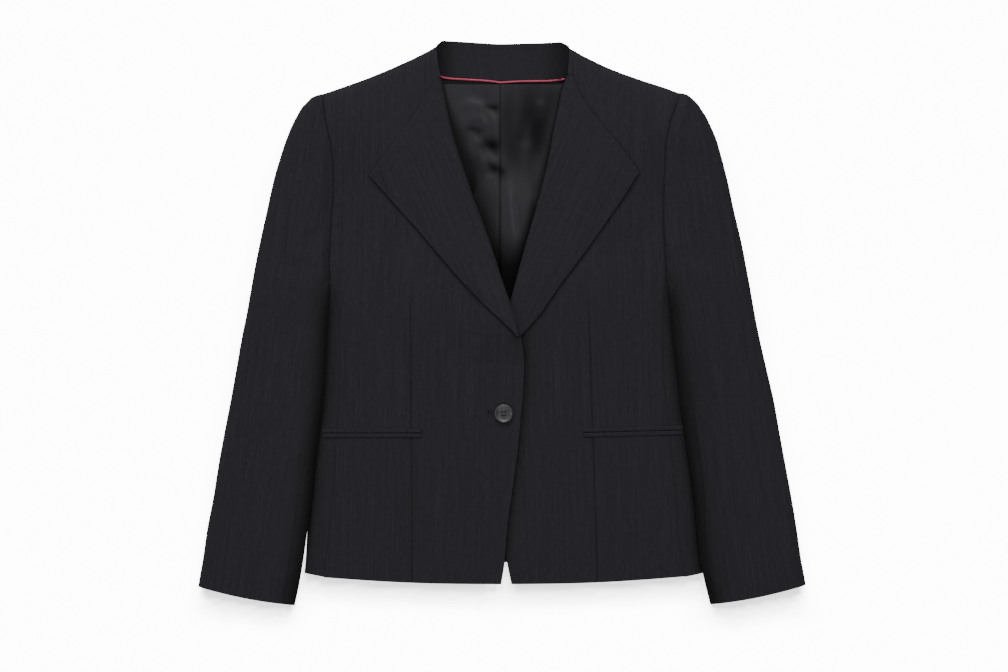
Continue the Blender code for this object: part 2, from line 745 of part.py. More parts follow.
def build_button(name, look):
    """Round four-hole button with a raised rim, resting on the top front."""
    centre_x, centre_y = BUTTON_PLACE
    base = front_top(centre_x, centre_y, -1) + 0.7
    profile = [
        # radius_mm, height_mm
        (BUTTON_RADIUS - 1.6, 0.0),
        (BUTTON_RADIUS - 0.5, 0.7),
        (BUTTON_RADIUS, 1.7),
        (BUTTON_RADIUS - 0.4, 2.7),
        (BUTTON_RADIUS - 1.1, BUTTON_THICKNESS),
        (BUTTON_RADIUS - BUTTON_RIM, 2.9),
        (BUTTON_RADIUS - BUTTON_RIM - 1.0, 2.2),
    ]
    around = 32
    bm = bmesh.new()
    rings = []
    for radius, height in profile:
        ring = []
        for k in range(around):
            angle = 2 * math.pi * k / around
            x = centre_x + radius * math.cos(angle)
            y = centre_y + radius * math.sin(angle)
            ring.append(bm.verts.new(Vector((x, y, base + height))))
        rings.append(ring)
    for ring, following in zip(rings, rings[1:]):
        for k in range(around):
            after = (k + 1) % around
            bm.faces.new((ring[k], ring[after], following[after], following[k]))
    bm.faces.new(rings[0])
    bm.faces.new(rings[-1])
    button = add_object(name, bm, look)
    holes = bmesh.new()
    for quarter_turn in range(4):
        angle = math.radians(45 + 90 * quarter_turn)
        x = centre_x + BUTTON_HOLE_OFFSET * math.sqrt(2) * math.cos(angle)
        y = centre_y + BUTTON_HOLE_OFFSET * math.sqrt(2) * math.sin(angle)
        made = bmesh.ops.create_cone(
            holes,
            cap_ends=True,
            segments=10,
            radius1=BUTTON_HOLE_RADIUS,
            radius2=BUTTON_HOLE_RADIUS,
            depth=8.0,
        )
        bmesh.ops.translate(holes, verts=made["verts"], vec=Vector((x, y, base + 1.5)))
    cutter = add_object("button_hole_cutter", holes, look)
    cutter.hide_render = True
    cutter.display_type = "WIRE"
    cut = button.modifiers.new("holes", "BOOLEAN")
    cut.operation = "DIFFERENCE"
    cut.solver = "EXACT"
    cut.object = cutter
    bpy.context.view_layer.update()
    shaped = bpy.data.meshes.new_from_object(button.evaluated_get(bpy.context.evaluated_depsgraph_get()))
    button.modifiers.clear()
    button.data = shaped
    bpy.data.objects.remove(cutter)


def main():
    for existing in list(bpy.data.objects):
        bpy.data.objects.remove(existing)
    wool = ((0.020, 0.020, 0.022), 0.85, 0.3)
    facing_wool = ((0.022, 0.022, 0.025), 0.85, 0.3)
    satin = ((0.012, 0.012, 0.014), 0.35, 0.0)
    crimson = ((0.32, 0.02, 0.06), 0.6, 0.1)
    horn = ((0.045, 0.045, 0.050), 0.40, 0.0)

    cloth_wall("back", back_grid(0.0), back_grid(BACK_CLOTH), wool)
    build_front("front_right", RIGHT_FRONT, -1, wool)
    build_front("front_left", LEFT_FRONT, 1, wool)
    build_side("side_panel_right", -1, wool)
    build_side("side_panel_left", 1, wool)
    build_lapel("lapel_right", RIGHT_LAPEL, -1, wool)
    build_lapel("lapel_left", LEFT_LAPEL, 1, wool)
    cloth_wall("neck_facing", facing_grid(0.0), facing_grid(BACK_CLOTH), facing_wool)
    build_piping("neck_piping", crimson)
    cloth_wall("lining_right", lining_grid(-1, 0.0), lining_grid(-1, LINING_CLOTH), satin)
    cloth_wall("lining_left", lining_grid(1, 0.0), lining_grid(1, LINING_CLOTH), satin)
    for pocket in POCKETS:
        side = -1 if pocket[0] == "right" else 1
        for word, upper in (("upper", True), ("lower", False)):
            faces = [welt_grid(pocket, side, upper, inset) for inset in (0.0, WELT_THICKNESS)]
            cloth_wall("pocket_" + pocket[0] + "_" + word + "_welt", faces[0], faces[1], wool)
    build_sleeve("right", RIGHT_SLEEVE, -1, wool)
    build_sleeve("left", LEFT_SLEEVE, 1, wool)
    build_button("button", horn)


main()
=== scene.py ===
# %% [markdown]
# # A short suit jacket, laid flat
#
# The jacket lies on its back on a white table and is seen from straight above. Everything is
# measured in millimetres in the tables and turned into metres when a mesh is made. The packed
# solids give the true size, and each cell below dresses one of them in finer cloth.

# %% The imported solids
import math

import bmesh
import bpy
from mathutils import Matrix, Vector, noise
from mathutils.bvhtree import BVHTree


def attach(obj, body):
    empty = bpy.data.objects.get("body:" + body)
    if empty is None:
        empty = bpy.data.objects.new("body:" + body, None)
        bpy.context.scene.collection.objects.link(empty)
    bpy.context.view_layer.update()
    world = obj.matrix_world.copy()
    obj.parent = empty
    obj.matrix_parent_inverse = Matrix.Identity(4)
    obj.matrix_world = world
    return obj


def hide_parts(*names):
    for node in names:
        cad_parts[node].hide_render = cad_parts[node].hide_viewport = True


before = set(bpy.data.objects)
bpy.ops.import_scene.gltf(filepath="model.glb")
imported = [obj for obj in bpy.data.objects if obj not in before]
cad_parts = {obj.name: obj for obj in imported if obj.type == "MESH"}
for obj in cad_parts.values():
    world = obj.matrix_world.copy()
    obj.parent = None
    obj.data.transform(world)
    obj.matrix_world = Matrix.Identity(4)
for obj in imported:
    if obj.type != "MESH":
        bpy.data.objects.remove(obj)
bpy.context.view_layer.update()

MM = 0.001

# %% [markdown]
# ## Thicknesses and turns
#
# Wool suiting is a little over a millimetre thick, and the lapel has two layers of it pressed
# together. A cutter works from such figures, so they are named here once and used everywhere.

# %% Sizes of the cloth
BODY_CLOTH = 1.4
LAPEL_CLOTH = 2.0
BACK_CLOTH = 1.6
SLEEVE_CLOTH = 1.5
LINING_CLOTH = 1.0
LAYER_GAP = 0.8
SEAM_GAP = 0.3
SHOULDER_TURN = 12.0
SIDE_TURN = 10.0
SIDE_TURN_BELOW = 5.0
SLEEVE_TURN = 11.0
print("front and lapel together:", BODY_CLOTH + LAYER_GAP + LAPEL_CLOTH, "mm")

# %% [markdown]
# ## The shape of the body
#
# The height of the fronts above the table falls from the padded shoulders to the thin hem. Two soft
# rises stand for the shoulder pads and for the fullness under the bust darts. The fronts are tables
# too: the inner edge, the armhole or side seam, and how far the right front rides over the layers
# below its edge.

# %% Tables of the body
BODY_HEIGHT = [
    # y_mm, height_mm
    (-330, 7.5),
    (-300, 7.6),
    (-240, 7.9),
    (-170, 8.3),
    (-90, 8.7),
    (-15, 9.2),
    (30, 9.6),
    (90, 10.4),
    (150, 11.6),
    (205, 13.0),
    (250, 13.8),
    (330, 14.0),
]
BODY_RISES = [
    # x_mm (both sides), y_mm, reach_mm, rise_mm
    (192, 235, 62, 7.5),
    (100, 40, 60, 2.2),
]
RIGHT_FRONT = [
    # inner_x, inner_y, outer_x, outer_y, edge_bow, lift_mm, lift_from_x
    (-77, 321, -209, 267, -3.5, 0.0, 0),
    (-75, 307, -208, 253, -3.0, 0.0, 0),
    (-72, 292, -206, 240, -2.0, 0.0, 0),
    (-68, 271, -203, 225, -1.0, 0.0, 0),
    (-62, 238, -199, 204, 0.0, 0.0, 0),
    (-53, 206, -197, 180, 0.0, 0.0, 0),
    (-41, 169, -197, 154, 0.0, 0.0, 0),
    (-28, 133, -199, 126, 0.0, 0.0, -40),
    (-15, 98, -201, 94, 0.0, 0.4, -34),
    (-4, 64, -202, 67, 0.0, 2.2, -28),
    (4, 43, -199.0, 48.5, 0.0, 4.6, -22),
    (6.3, 36, -196.8, 41.5, 0.0, 5.5, -18),
    (9, 28, -193.4, 28, 0.0, 6.6, -14),
    (15, 5, -190, 5, 0.0, 8.1, -16),
    (20.5, -11.5, -190, -13, 0.0, 7.9, -18),
    (22, -14, -190, -16, 0.0, 7.5, -18),
    (26, -45, -190, -45, 0.0, 2.6, -30),
    (25, -78, -191, -78, 0.0, 2.2, -32),
    (22, -113, -192, -113, 0.0, 2.2, -30),
    (18, -153, -195, -153, 0.0, 2.2, -24),
    (12, -197, -198, -197, 0.0, 2.2, -16),
    (6, -241, -202, -241, 0.0, 2.2, -8),
    (3, -279, -207, -279, -1.0, 2.2, -2),
    (-1, -304, -209, -296, -2.5, 2.2, 2),
]
LEFT_FRONT = [
    # inner_x, inner_y, outer_x, outer_y, edge_bow, lift_mm, lift_from_x
    (79, 321, 207, 268, -3.5, 0.0, 0),
    (78, 307, 203, 253, -3.0, 0.0, 0),
    (76, 292, 198, 241, -2.0, 0.0, 0),
    (70, 273, 194, 225, -1.0, 0.0, 0),
    (63, 238, 191, 204, 0.0, 0.0, 0),
    (57, 206, 190, 180, 0.0, 0.0, 0),
    (49, 169, 189, 154, 0.0, 0.0, 0),
    (39, 133, 189, 126, 0.0, 0.0, 0),
    (29, 98, 190, 94, 0.0, 0.0, 0),
    (20, 64, 192, 67, 0.0, 0.0, 0),
    (14, 43, 191.6, 48.5, 0.0, 0.0, 0),
    (12.1, 36, 190.6, 41.5, 0.0, 0.0, 0),
    (10, 28, 190, 28, 0.0, 0.0, 0),
    (4, 5, 188, 5, 0.0, 0.0, 0),
    (-2, -13, 188, -16, 0.0, 0.0, 0),
    (1, -24.6, 188, -26, 0.0, 0.0, 0),
    (-12, -27.5, 188, -29, 0.0, 0.0, 0),
    (-21, -45, 189, -45, 0.0, 0.0, 0),
    (-24, -78, 191, -78, 0.0, 0.0, 0),
    (-22, -113, 195, -113, 0.0, 0.0, 0),
    (-16, -153, 199, -153, 0.0, 0.0, 0),
    (-8, -197, 203, -197, 0.0, 0.0, 0),
    (0, -241, 207, -241, 0.0, 0.0, 0),
    (6, -279, 211, -279, -1.0, 0.0, 0),
    (11, -304, 214, -295, -2.5, 0.0, 0),
]
SIDE_PANELS = [
    # y_mm, right_seam_x, right_edge_x, left_seam_x, left_edge_x
    (39, -196.1, -215, 190.5, 213),
    (28, -193.4, -215, 190, 212),
    (5, -190, -215, 188, 212),
    (-16, -190, -214, 188, 213),
    (-45, -190, -214, 189, 214),
    (-78, -191, -214.5, 191, 214),
    (-113, -192, -216, 195, 217),
    (-153, -195, -220, 199, 220.5),
    (-197, -198, -223.5, 203, 225.5),
    (-241, -202, -228, 207, 230),
    (-279, -207, -230, 211, 234),
    (-295.5, -209, -231.5, 214, 235.5),
]
PANEL_TOP = SIDE_PANELS[0][0]
BACK_SEAM_INSET = 34.0
print("rows of the fronts:", len(RIGHT_FRONT), len(LEFT_FRONT))

# %% [markdown]
# ## The lapels, the back and the neck
#
# A lapel is cut in one with its facing. Its table gives the outer edge with the point, then the roll
# line, and how far the cloth is tucked under the front. The back follows the outline of the shoulders
# and the neck; the facing, the piping and the two lining halves fill the neck opening.

# %% Tables of the lapels, the back and the neck
RIGHT_LAPEL = [
    # outer_x, outer_y, roll_x, roll_y, tuck_mm
    (-78, 286, -71, 286, 3.0),
    (-91, 262, -67, 264, 6.0),
    (-106, 239, -62, 239, 10.0),
    (-123, 217, -56, 216, 10.0),
    (-139, 195, -49, 193, 10.0),
    (-156, 173, -41, 169, 10.0),
    (-142, 158, -36, 154, 10.0),
    (-122, 135, -28, 133, 10.0),
    (-99, 110, -18, 106, 10.0),
    (-73, 79, -7, 74, 10.0),
    (-48, 50, 2, 46, 7.0),
    (-20, 21, 11, 21, 4.0),
    (5, -2, 18, -2, 2.0),
    (14, -10.2, 20.3, -14.5, 1.0),
]
LEFT_LAPEL = [
    # outer_x, outer_y, roll_x, roll_y, tuck_mm
    (84, 289, 76, 290, 3.0),
    (90, 271, 70, 273, 6.0),
    (103, 249, 65, 248, 10.0),
    (122, 227, 60, 224, 10.0),
    (141, 203, 56, 201, 10.0),
    (161, 177, 51, 177, 10.0),
    (140, 144, 42, 142, 10.0),
    (117, 111, 33, 111, 10.0),
    (94, 79, 24, 79, 10.0),
    (69, 46, 15, 46, 8.0),
    (46, 12, 6, 12, 5.0),
    (23, -14, -2, -13, 3.0),
    (13, -25, 1, -24, 1.0),
]
BACK_TOP = [
    # x_mm, y_mm, rise_mm, turn_mm
    (-208, 267.5, 9.5, 12),
    (-181, 275.5, 8.5, 12),
    (-151, 286.5, 7.8, 12),
    (-126, 295.5, 7.2, 12),
    (-102, 306.5, 6.9, 12),
    (-79, 320.5, 6.6, 12),
    (-69, 328.5, 1.6, 14),
    (-26, 326.5, 1.6, 14),
    (11, 324.5, 1.6, 14),
    (47, 326.0, 1.6, 14),
    (69, 327.0, 1.6, 14),
    (80, 320.5, 6.6, 12),
    (100, 308.5, 6.9, 12),
    (131, 294.5, 7.4, 12),
    (163, 283.5, 8.2, 12),
    (194, 273.5, 9.0, 12),
    (206, 268.5, 9.5, 12),
]
BACK_SIDES = [
    # right_x, left_x, y_mm, share_of_top_shape
    (-208, 203, 253, 0.93),
    (-206, 198, 240, 0.80),
    (-203, 194, 225, 0.62),
    (-199, 191, 204, 0.40),
    (-197, 190, 180, 0.20),
    (-197, 189, 154, 0.0),
    (-199, 189, 126, 0.0),
    (-201, 190, 94, 0.0),
    (-202, 192, 67, 0.0),
    (-202, 193, 45, 0.0),
]
FACING = [
    # top_x, top_y, lower_x, lower_y, rise_mm
    (-76.4, 321.0, -70.9, 292.5, 9.4),
    (-73.8, 324.0, -68.6, 290.6, 5.6),
    (-69.5, 327.6, -65.0, 289.8, 2.6),
    (-62.0, 327.9, -59.0, 289.2, 0.8),
    (-45.0, 327.4, -44.0, 288.2, 0.2),
    (-26.0, 326.4, -26.0, 287.2, 0.0),
    (0.0, 324.9, 0.0, 284.8, 0.0),
    (29.0, 325.4, 29.0, 286.0, 0.0),
    (45.0, 325.9, 45.0, 286.0, 0.6),
    (58.0, 326.6, 57.0, 286.6, 2.0),
    (67.0, 326.8, 65.5, 287.6, 4.4),
    (73.5, 324.0, 71.0, 289.6, 7.0),
    (78.4, 321.0, 75.2, 292.5, 9.4),
]
PIPING = [
    # x_mm, y_mm, rise_mm
    (-72.0, 289.4, 3.2),
    (-68.5, 288.4, 1.5),
    (-63, 287.5, 0.4),
    (-26, 285.3, 0.0),
    (-10, 283.8, 0.0),
    (-1, 282.7, 0.0),
    (12, 283.6, 0.0),
    (29, 284.2, 0.0),
    (53, 284.5, 0.0),
    (65, 285.6, 0.6),
    (70, 286.0, 1.6),
    (73.5, 286.4, 2.6),
]
LINING = [
    # y_mm, right_x, seam_x, left_x
    (280.5, -72, -1.6, 73),
    (250.0, -72, -2.0, 74),
    (206.0, -66, -2.0, 70),
    (169.0, -56, -2.2, 62),
    (133.0, -44, -2.4, 52),
    (98.0, -32, -2.6, 42),
    (64.0, -22, -3.0, 33),
    (40.0, -14, -2.0, 26),
    (20.0, -8, 4.0, 20),
]
print("neck width:", round(FACING[-1][0] - FACING[0][0], 1), "mm")

# %% [markdown]
# ## The sleeves and the pockets
#
# Each row of a sleeve runs from the outer fold to the armhole seam and, below the armpit, to the
# inner fold. The pockets are jetted: two narrow welts, one above the other, with the slit between.

# %% Tables of the sleeves and the pockets
RIGHT_SLEEVE = [
    # outer_x, outer_y, inner_x, inner_y, floor, height, fold, seam_in, bow
    (-217, 266, -210, 265, 6.8, 11.6, 0, 0, 0),
    (-223, 263, -209.3, 259, 3.4, 15.6, 0, 0, 0),
    (-229, 257, -208.6, 252, 1.2, 18.4, 0, 0, 0),
    (-234, 252, -207, 244, 0.3, 19.8, 0, 0, 0),
    (-240, 242, -205, 232, 0, 20.6, 0, 0, 0),
    (-246, 231, -202, 218, 0, 20.6, 0, 0, 0),
    (-253, 214, -199, 202, 0, 20.0, 0, 0, 0),
    (-259, 196, -197, 183, 0, 19.0, 0, 0, 0),
    (-267, 169, -197, 156, 0, 17.6, 0, 0, 0),
    (-276, 129, -199, 126, 0, 15.6, 0, 0, 0),
    (-284, 93, -201, 94, 0, 14.4, 0, 0, 0),
    (-290, 63, -202, 67, 0, 13.6, 0, 0, 0),
    (-293, 46, -202, 48, 0, 13.2, 0, 0, 0),
    (-294, 41, -202, 43, 0, 13.0, 4.0, 2, 0),
    (-299, 12, -203, 14, 0, 12.4, 5.0, 4, 0),
    (-305, -17, -205, -21, 0, 11.8, 6.2, 9, 0),
    (-312, -57, -207, -61, 0, 11.2, 6.8, 14, 0),
    (-318, -90, -210, -95, 0, 10.8, 7.2, 16, 0),
    (-325, -126, -214, -124, 0, 10.4, 7.2, 17, 0),
    (-332, -164, -219, -163, 0, 10.2, 7.2, 17, 0.5),
    (-338, -202, -223, -204, 0, 10.0, 7.4, 16, 1.0),
    (-345, -238, -227.5, -241, 0, 9.8, 7.6, 16, 1.5),
    (-350, -272, -231.8, -272, 0, 9.6, 7.6, 15, 2.0),
    (-354, -294, -236.8, -301, 0, 9.4, 7.6, 14, 2.5),
    (-356, -307, -242.8, -329, 0, 9.2, 7.4, 13, 3.0),
]
LEFT_SLEEVE = [
    # outer_x, outer_y, inner_x, inner_y, floor, height, fold, seam_in, bow
    (213, 267, 207, 266, 6.8, 11.6, 0, 0, 0),
    (218, 265, 205.8, 260, 3.4, 15.6, 0, 0, 0),
    (224, 260, 203.8, 253, 1.2, 18.4, 0, 0, 0),
    (229, 255, 200.6, 245, 0.3, 19.8, 0, 0, 0),
    (236, 245, 196.8, 232, 0, 20.6, 0, 0, 0),
    (242, 235, 193.8, 218, 0, 20.6, 0, 0, 0),
    (250, 218, 191.5, 202, 0, 20.0, 0, 0, 0),
    (255, 202, 190.3, 183, 0, 19.0, 0, 0, 0),
    (264, 168, 189.3, 156, 0, 17.6, 0, 0, 0),
    (272, 131, 189.3, 126, 0, 15.6, 0, 0, 0),
    (281, 93, 190.3, 94, 0, 14.4, 0, 0, 0),
    (287, 62, 192.3, 67, 0, 13.6, 0, 0, 0),
    (290, 46, 193.3, 48, 0, 13.2, 0, 0, 0),
    (291, 41, 194, 43, 0, 13.0, 4.0, 2, 0),
    (296, 12, 197, 12, 0, 12.4, 5.0, 4, 0),
    (302, -18, 200, -21, 0, 11.8, 6.2, 9, 0),
    (311, -57, 205, -61, 0, 11.2, 6.8, 13, 0),
    (319, -92, 209, -95, 0, 10.8, 7.2, 14, 0),
    (325, -126, 214, -127, 0, 10.4, 7.2, 14, 0),
    (332, -164, 219, -163, 0, 10.2, 7.2, 14, 0.5),
    (339, -202, 225, -204, 0, 10.0, 7.4, 12, 1.0),
    (345, -238, 228.0, -241, 0, 9.8, 7.6, 10, 1.5),
    (350, -272, 231.2, -272, 0, 9.6, 7.6, 8, 2.0),
    (354, -293, 236.6, -299, 0, 9.4, 7.6, 7, 2.5),
    (356, -305, 244, -328, 0, 9.2, 7.4, 6, 3.0),
]
ELBOW_SEAM_IN = 18.0
BACK_ARMHOLE_GAP = 1.2
ARMHOLE_ROWS = 13
POCKETS = [
    # name, inner_x, outer_x, inner_y, outer_y
    ("right", -94, -210, -128, -128),
    ("left", 95, 211, -127.5, -124.5),
]
WELT_HEIGHT = 5.4
WELT_THICKNESS = 1.1
print("sleeve rows:", len(RIGHT_SLEEVE), "welt:", WELT_HEIGHT, "mm")

# %% [markdown]
# ## Reading a table
#
# A short table can't carry a smooth edge by itself. `blend` and `smooth` ease between two values, and
# `between_rows` draws a curve through all the rows, as a maker draws the seam through chalk marks with
# a French curve. The curve never swings past a row, so close rows make no ripple. Columns named as
# straight keep their corners, which the lapel's point needs.

# %% Helpers for tables
def interpolate(table, at):
    """Value of a two-column table at a place between its rows."""
    if at <= table[0][0]:
        return table[0][1]
    for (low, low_value), (high, high_value) in zip(table, table[1:]):
        if at <= high:
            share = (at - low) / (high - low)
            share = share * share * (3 - 2 * share) * 0.35 + share * 0.65
            return low_value + (high_value - low_value) * share
    return table[-1][1]


def smooth(share):
    share = min(1.0, max(0.0, share))
    return share * share * (3 - 2 * share)


def quarter(share):
    """Rise of a rounded edge: nought at the edge, one where it has levelled out."""
    share = min(1.0, max(0.0, share))
    return math.sqrt(1 - (1 - share) ** 2)


def blend(first, second, share):
    return first + (second - first) * share


def table_row(table, y, column):
    """Values of a table at height y; the column gives y and falls from row to row."""
    if y >= table[0][column]:
        return table[0]
    for upper, lower in zip(table, table[1:]):
        if y >= lower[column]:
            share = (upper[column] - y) / (upper[column] - lower[column])
            return tuple(blend(a, b, share) for a, b in zip(upper, lower))
    return table[-1]


def slope_between(before, after):
    """Slope of a curve at a row, kept gentle enough that it never swings past a row."""
    if before * after <= 0:
        return 0.0
    limit = 2 * min(abs(before), abs(after))
    return math.copysign(min(abs(before + after) / 2, limit), before)


def between_rows(table, places, straight=()):
    """Rows at fractional places in a table, on a curve through its rows."""
    found = []
    last = len(table) - 1
    for place in places:
        low = min(int(place), last - 1)
        share = place - low
        before, start = table[max(0, low - 1)], table[low]
        end, after = table[low + 1], table[min(last, low + 2)]
        row = []
        for column in range(len(start)):
            if not isinstance(start[column], (int, float)):
                row.append(start[column])
                continue
            a, b, c, d = before[column], start[column], end[column], after[column]
            if column in straight:
                row.append(blend(b, c, share))
                continue
            slope_in = slope_between(b - a, c - b) if low > 0 else c - b
            slope_out = slope_between(c - b, d - c) if low + 2 <= last else c - b
            square, cube = share * share, share ** 3
            value = (2 * cube - 3 * square + 1) * b + (cube - 2 * square + share) * slope_in
            value += (3 * square - 2 * cube) * c + (cube - square) * slope_out
            row.append(value)
        found.append(tuple(row))
    return found


def places_along(first, last, per_row, close_last=0.0):
    """Evenly spread places from one row to another, with some close to the last row."""
    count = int((last - first) * per_row)
    places = [first + (last - first) * k / count for k in range(count + 1)]
    if close_last:
        near = [last - close_last * share for share in (1.0, 0.5, 0.22, 0.08)]
        places = [place for place in places if place < near[0]] + near + [last]
    return places


def ladder(length, count, near=(0.0, 0.25, 0.6, 1.1, 1.9, 3.2)):
    """Distances across a span, closer together by both of its edges."""
    scale = min(1.0, length / 16.0)
    steps_in = [step * scale for step in near]
    inner = length - 2 * steps_in[-1]
    middle = [steps_in[-1] + inner * k / count for k in range(1, count)]
    return steps_in + middle + [length - step for step in reversed(steps_in)]


print("ladder over 100 mm:", [round(step, 1) for step in ladder(100.0, 4)])

# %% [markdown]
# ## The surface of the fronts
#
# Both fronts and both side panels share one surface, so a seam between them is level by itself. The
# right front also lifts over the left one where they overlap at the button.

# %% Height of the fronts
def body_height(x, y):
    height = interpolate(BODY_HEIGHT, y)
    for centre_x, centre_y, reach, rise in BODY_RISES:
        away = math.hypot(abs(x) - centre_x, y - centre_y) / reach
        height += rise * math.exp(-away * away)
    return height


def side_values(side, y):
    """Seam x and fold x of the body's side at height y."""
    row = table_row(SIDE_PANELS, y, 0)
    if side < 0:
        return row[1], row[2]
    return row[3], row[4]


def lift_at(x, y, table):
    """How far the front rises over the layers that lie under its inner edge."""
    row = table_row(table, y, 1)
    if row[5] == 0.0:
        return 0.0
    return row[5] * smooth((x - (row[6] - 22)) / 22)


def front_top(x, y, side):
    """Height of a front's outer face, with the turned side edge below the armhole."""
    if side < 0:
        height = body_height(x, y) + lift_at(x, y, RIGHT_FRONT)
    else:
        height = body_height(x, y)
    if y < PANEL_TOP:
        edge = abs(side_values(side, y)[1])
        middle = height / 2
        height = middle + (height - middle) * quarter((edge - abs(x)) / SIDE_TURN)
    return height


print("height at the bust:", round(front_top(-100, 40, -1), 2), "mm")

# %% [markdown]
# ## Creases
#
# Cloth that lies flat is never quite flat. The main creases are listed, each with its two
# ends, its width and its height, where a minus sign is a trough. Under them lies a slow unevenness,
# like the ease that pressing leaves. The hidden back gets similar creases of its own.

# %% Creases and unevenness
FRONT_CREASES = [
    # x1_mm, y1_mm, x2_mm, y2_mm, half_width, height_mm
    (150, 142, 96, 96, 11, 0.7),
    (170, 118, 120, 60, 14, -0.6),
    (-160, 128, -118, 66, 13, -0.5),
    (-178, 40, -150, -40, 12, 0.6),
    (176, 30, 152, -60, 12, 0.5),
    (-60, -20, -30, -60, 16, -0.5),
    (40, -30, 84, -64, 16, -0.5),
    (-30, -150, -60, -250, 22, 0.6),
    (52, -160, 66, -270, 24, 0.5),
    (-150, -190, -160, -285, 16, -0.5),
    (160, -180, 172, -285, 16, -0.5),
    (30, -102, 74, -94, 12, -0.6),
    (-34, -96, -78, -86, 13, -0.5),
    (-140, 236, -108, 196, 14, 0.5),
    (136, 240, 112, 200, 14, 0.5),
]
SLEEVE_CREASES = [
    # x1_mm, y1_mm, x2_mm, y2_mm, half_width, height_mm
    (-240, 88, -201, 112, 7, -1.1),
    (-226, 68, -202, 92, 8, 0.9),
    (-262, 60, -214, 78, 12, -0.7),
    (-224, 198, -202, 197, 3, -0.5),
    (-232, -60, -234, -150, 8, -0.9),
    (-238, -150, -244, -260, 8, -0.6),
    (-300, -40, -262, -70, 16, -0.7),
    (-312, -120, -270, -104, 15, 0.7),
    (-330, -220, -282, -208, 18, -0.5),
    (-254, 150, -222, 170, 12, 0.6),
    (238, 234, 241, 182, 4, 0.9),
    (247, 226, 249, 170, 6, -0.5),
    (222, 96, 250, 66, 12, -0.8),
    (208, 70, 236, 44, 9, 0.8),
    (222, -60, 238, -180, 9, -0.8),
    (246, -180, 250, -280, 9, -0.6),
    (300, -30, 262, -58, 16, -0.7),
    (314, -128, 274, -112, 15, 0.6),
    (334, -222, 286, -206, 18, -0.5),
    (262, 128, 226, 150, 12, 0.5),
]
BACK_CREASES = [
    # x1_mm, y1_mm, x2_mm, y2_mm, half_width, height_mm
    (-120, 210, -60, 160, 16, 0.3),
    (110, 214, 70, 150, 18, 0.3),
    (-80, -40, 60, -60, 22, 0.3),
    (-30, -180, 50, -210, 20, 0.25),
]


def crease_height(x, y, creases):
    """Sum of the creases at a point; each one fades towards both of its ends."""
    total = 0.0
    for x1, y1, x2, y2, half_width, height in creases:
        along_x, along_y = x2 - x1, y2 - y1
        length = math.hypot(along_x, along_y)
        share = ((x - x1) * along_x + (y - y1) * along_y) / (length * length)
        if share < -0.4 or share > 1.4:
            continue
        across = ((x - x1) * along_y - (y - y1) * along_x) / length
        if abs(across) > 3.2 * half_width:
            continue
        wander = 0.25 * half_width * math.sin(5.0 * share + x1)
        fade = math.exp(-((share - 0.5) / 0.42) ** 4)
        total += height * fade * math.exp(-((across + wander) / half_width) ** 2)
    return total


def unevenness(x, y, seed):
    """Slow rise and fall of pressed cloth, in millimetres."""
    slow = noise.noise(Vector((x / 75.0, y / 95.0, seed)))
    quick = noise.noise(Vector((x / 24.0, y / 33.0, seed + 7.0)))
    return 0.55 * slow + 0.13 * quick


def front_relief(x, y):
    return crease_height(x, y, FRONT_CREASES) + unevenness(x, y, 1.5)


def sleeve_relief(x, y):
    return crease_height(x, y, SLEEVE_CREASES) + unevenness(x, y, 4.5)


print("creases:", len(FRONT_CREASES) + len(SLEEVE_CREASES) + len(BACK_CREASES))

# %% [markdown]
# ## Edges and seams
#
# A finished edge is cloth folded on itself, so it is round. A seam is two edges turned in, so it
# draws the surface down by half a millimetre within a millimetre or two. Both are small changes of
# height that depend only on the distance from the edge.

# %% Edge profiles
SEAM_DEPTH = 0.75
SEAM_REACH = 1.15
SEAM_SAG = 0.3
SEAM_SAG_REACH = 4.5


def edge_drop(distance, thickness):
    """How far a folded edge has rounded down at a distance from it."""
    half = thickness / 2
    return half * (1 - quarter(distance / half))


def bell(distance, reach):
    """One at no distance, falling away to nought in the shape of a bell."""
    return math.exp(-((distance / reach) ** 2))


def seam_drop(distance):
    return SEAM_DEPTH * bell(distance, SEAM_REACH) + SEAM_SAG * bell(distance, SEAM_SAG_REACH)


print("a seam is", round(seam_drop(0.0), 2), "mm deep")
print("a front's edge rounds by", edge_drop(0.0, BODY_CLOTH), "mm")

# %% [markdown]
# ## Seams and painted soft shade
#
# Light hardly reaches the bottom of a seam or the fold between a sleeve and the body, and that shade
# is painted into the cloth. Each point of a wall carries a number for it, which the cloth's material
# multiplies into its colour. It is worked out from the distance to the seam or the fold.

# %% Lines of the seams and folds
DART = {
    # top_x, top_y, bottom_x, bottom_y
    -1: (-107.0, 32.0, -105.0, -300.0),
    1: (101.5, 28.0, 112.0, -298.0),
}


DART_FADE = 40.0


def dart_depth(side, y):
    """The dart fades out over forty millimetres about its point."""
    return smooth((DART[side][1] + 8 - y) / DART_FADE)


def dart_x(side, y):
    top_x, top_y, bottom_x, bottom_y = DART[side]
    return blend(top_x, bottom_x, min(1.0, max(0.0, (top_y - y) / (top_y - bottom_y))))


def edge_line(rows, y_column, x_column):
    """An edge as pairs of y and x, from the hem up."""
    smooth_rows = between_rows(rows, places_along(0.0, float(len(rows) - 1), 7))
    return sorted((row[y_column], row[x_column]) for row in smooth_rows)


def edge_x(edge, y):
    """Where an edge lies at a height."""
    if y >= edge[-1][0]:
        return edge[-1][1]
    for (low_y, low_x), (high_y, high_x) in zip(edge, edge[1:]):
        if low_y <= y <= high_y and high_y > low_y:
            return blend(low_x, high_x, (y - low_y) / (high_y - low_y))
    return edge[0][1]


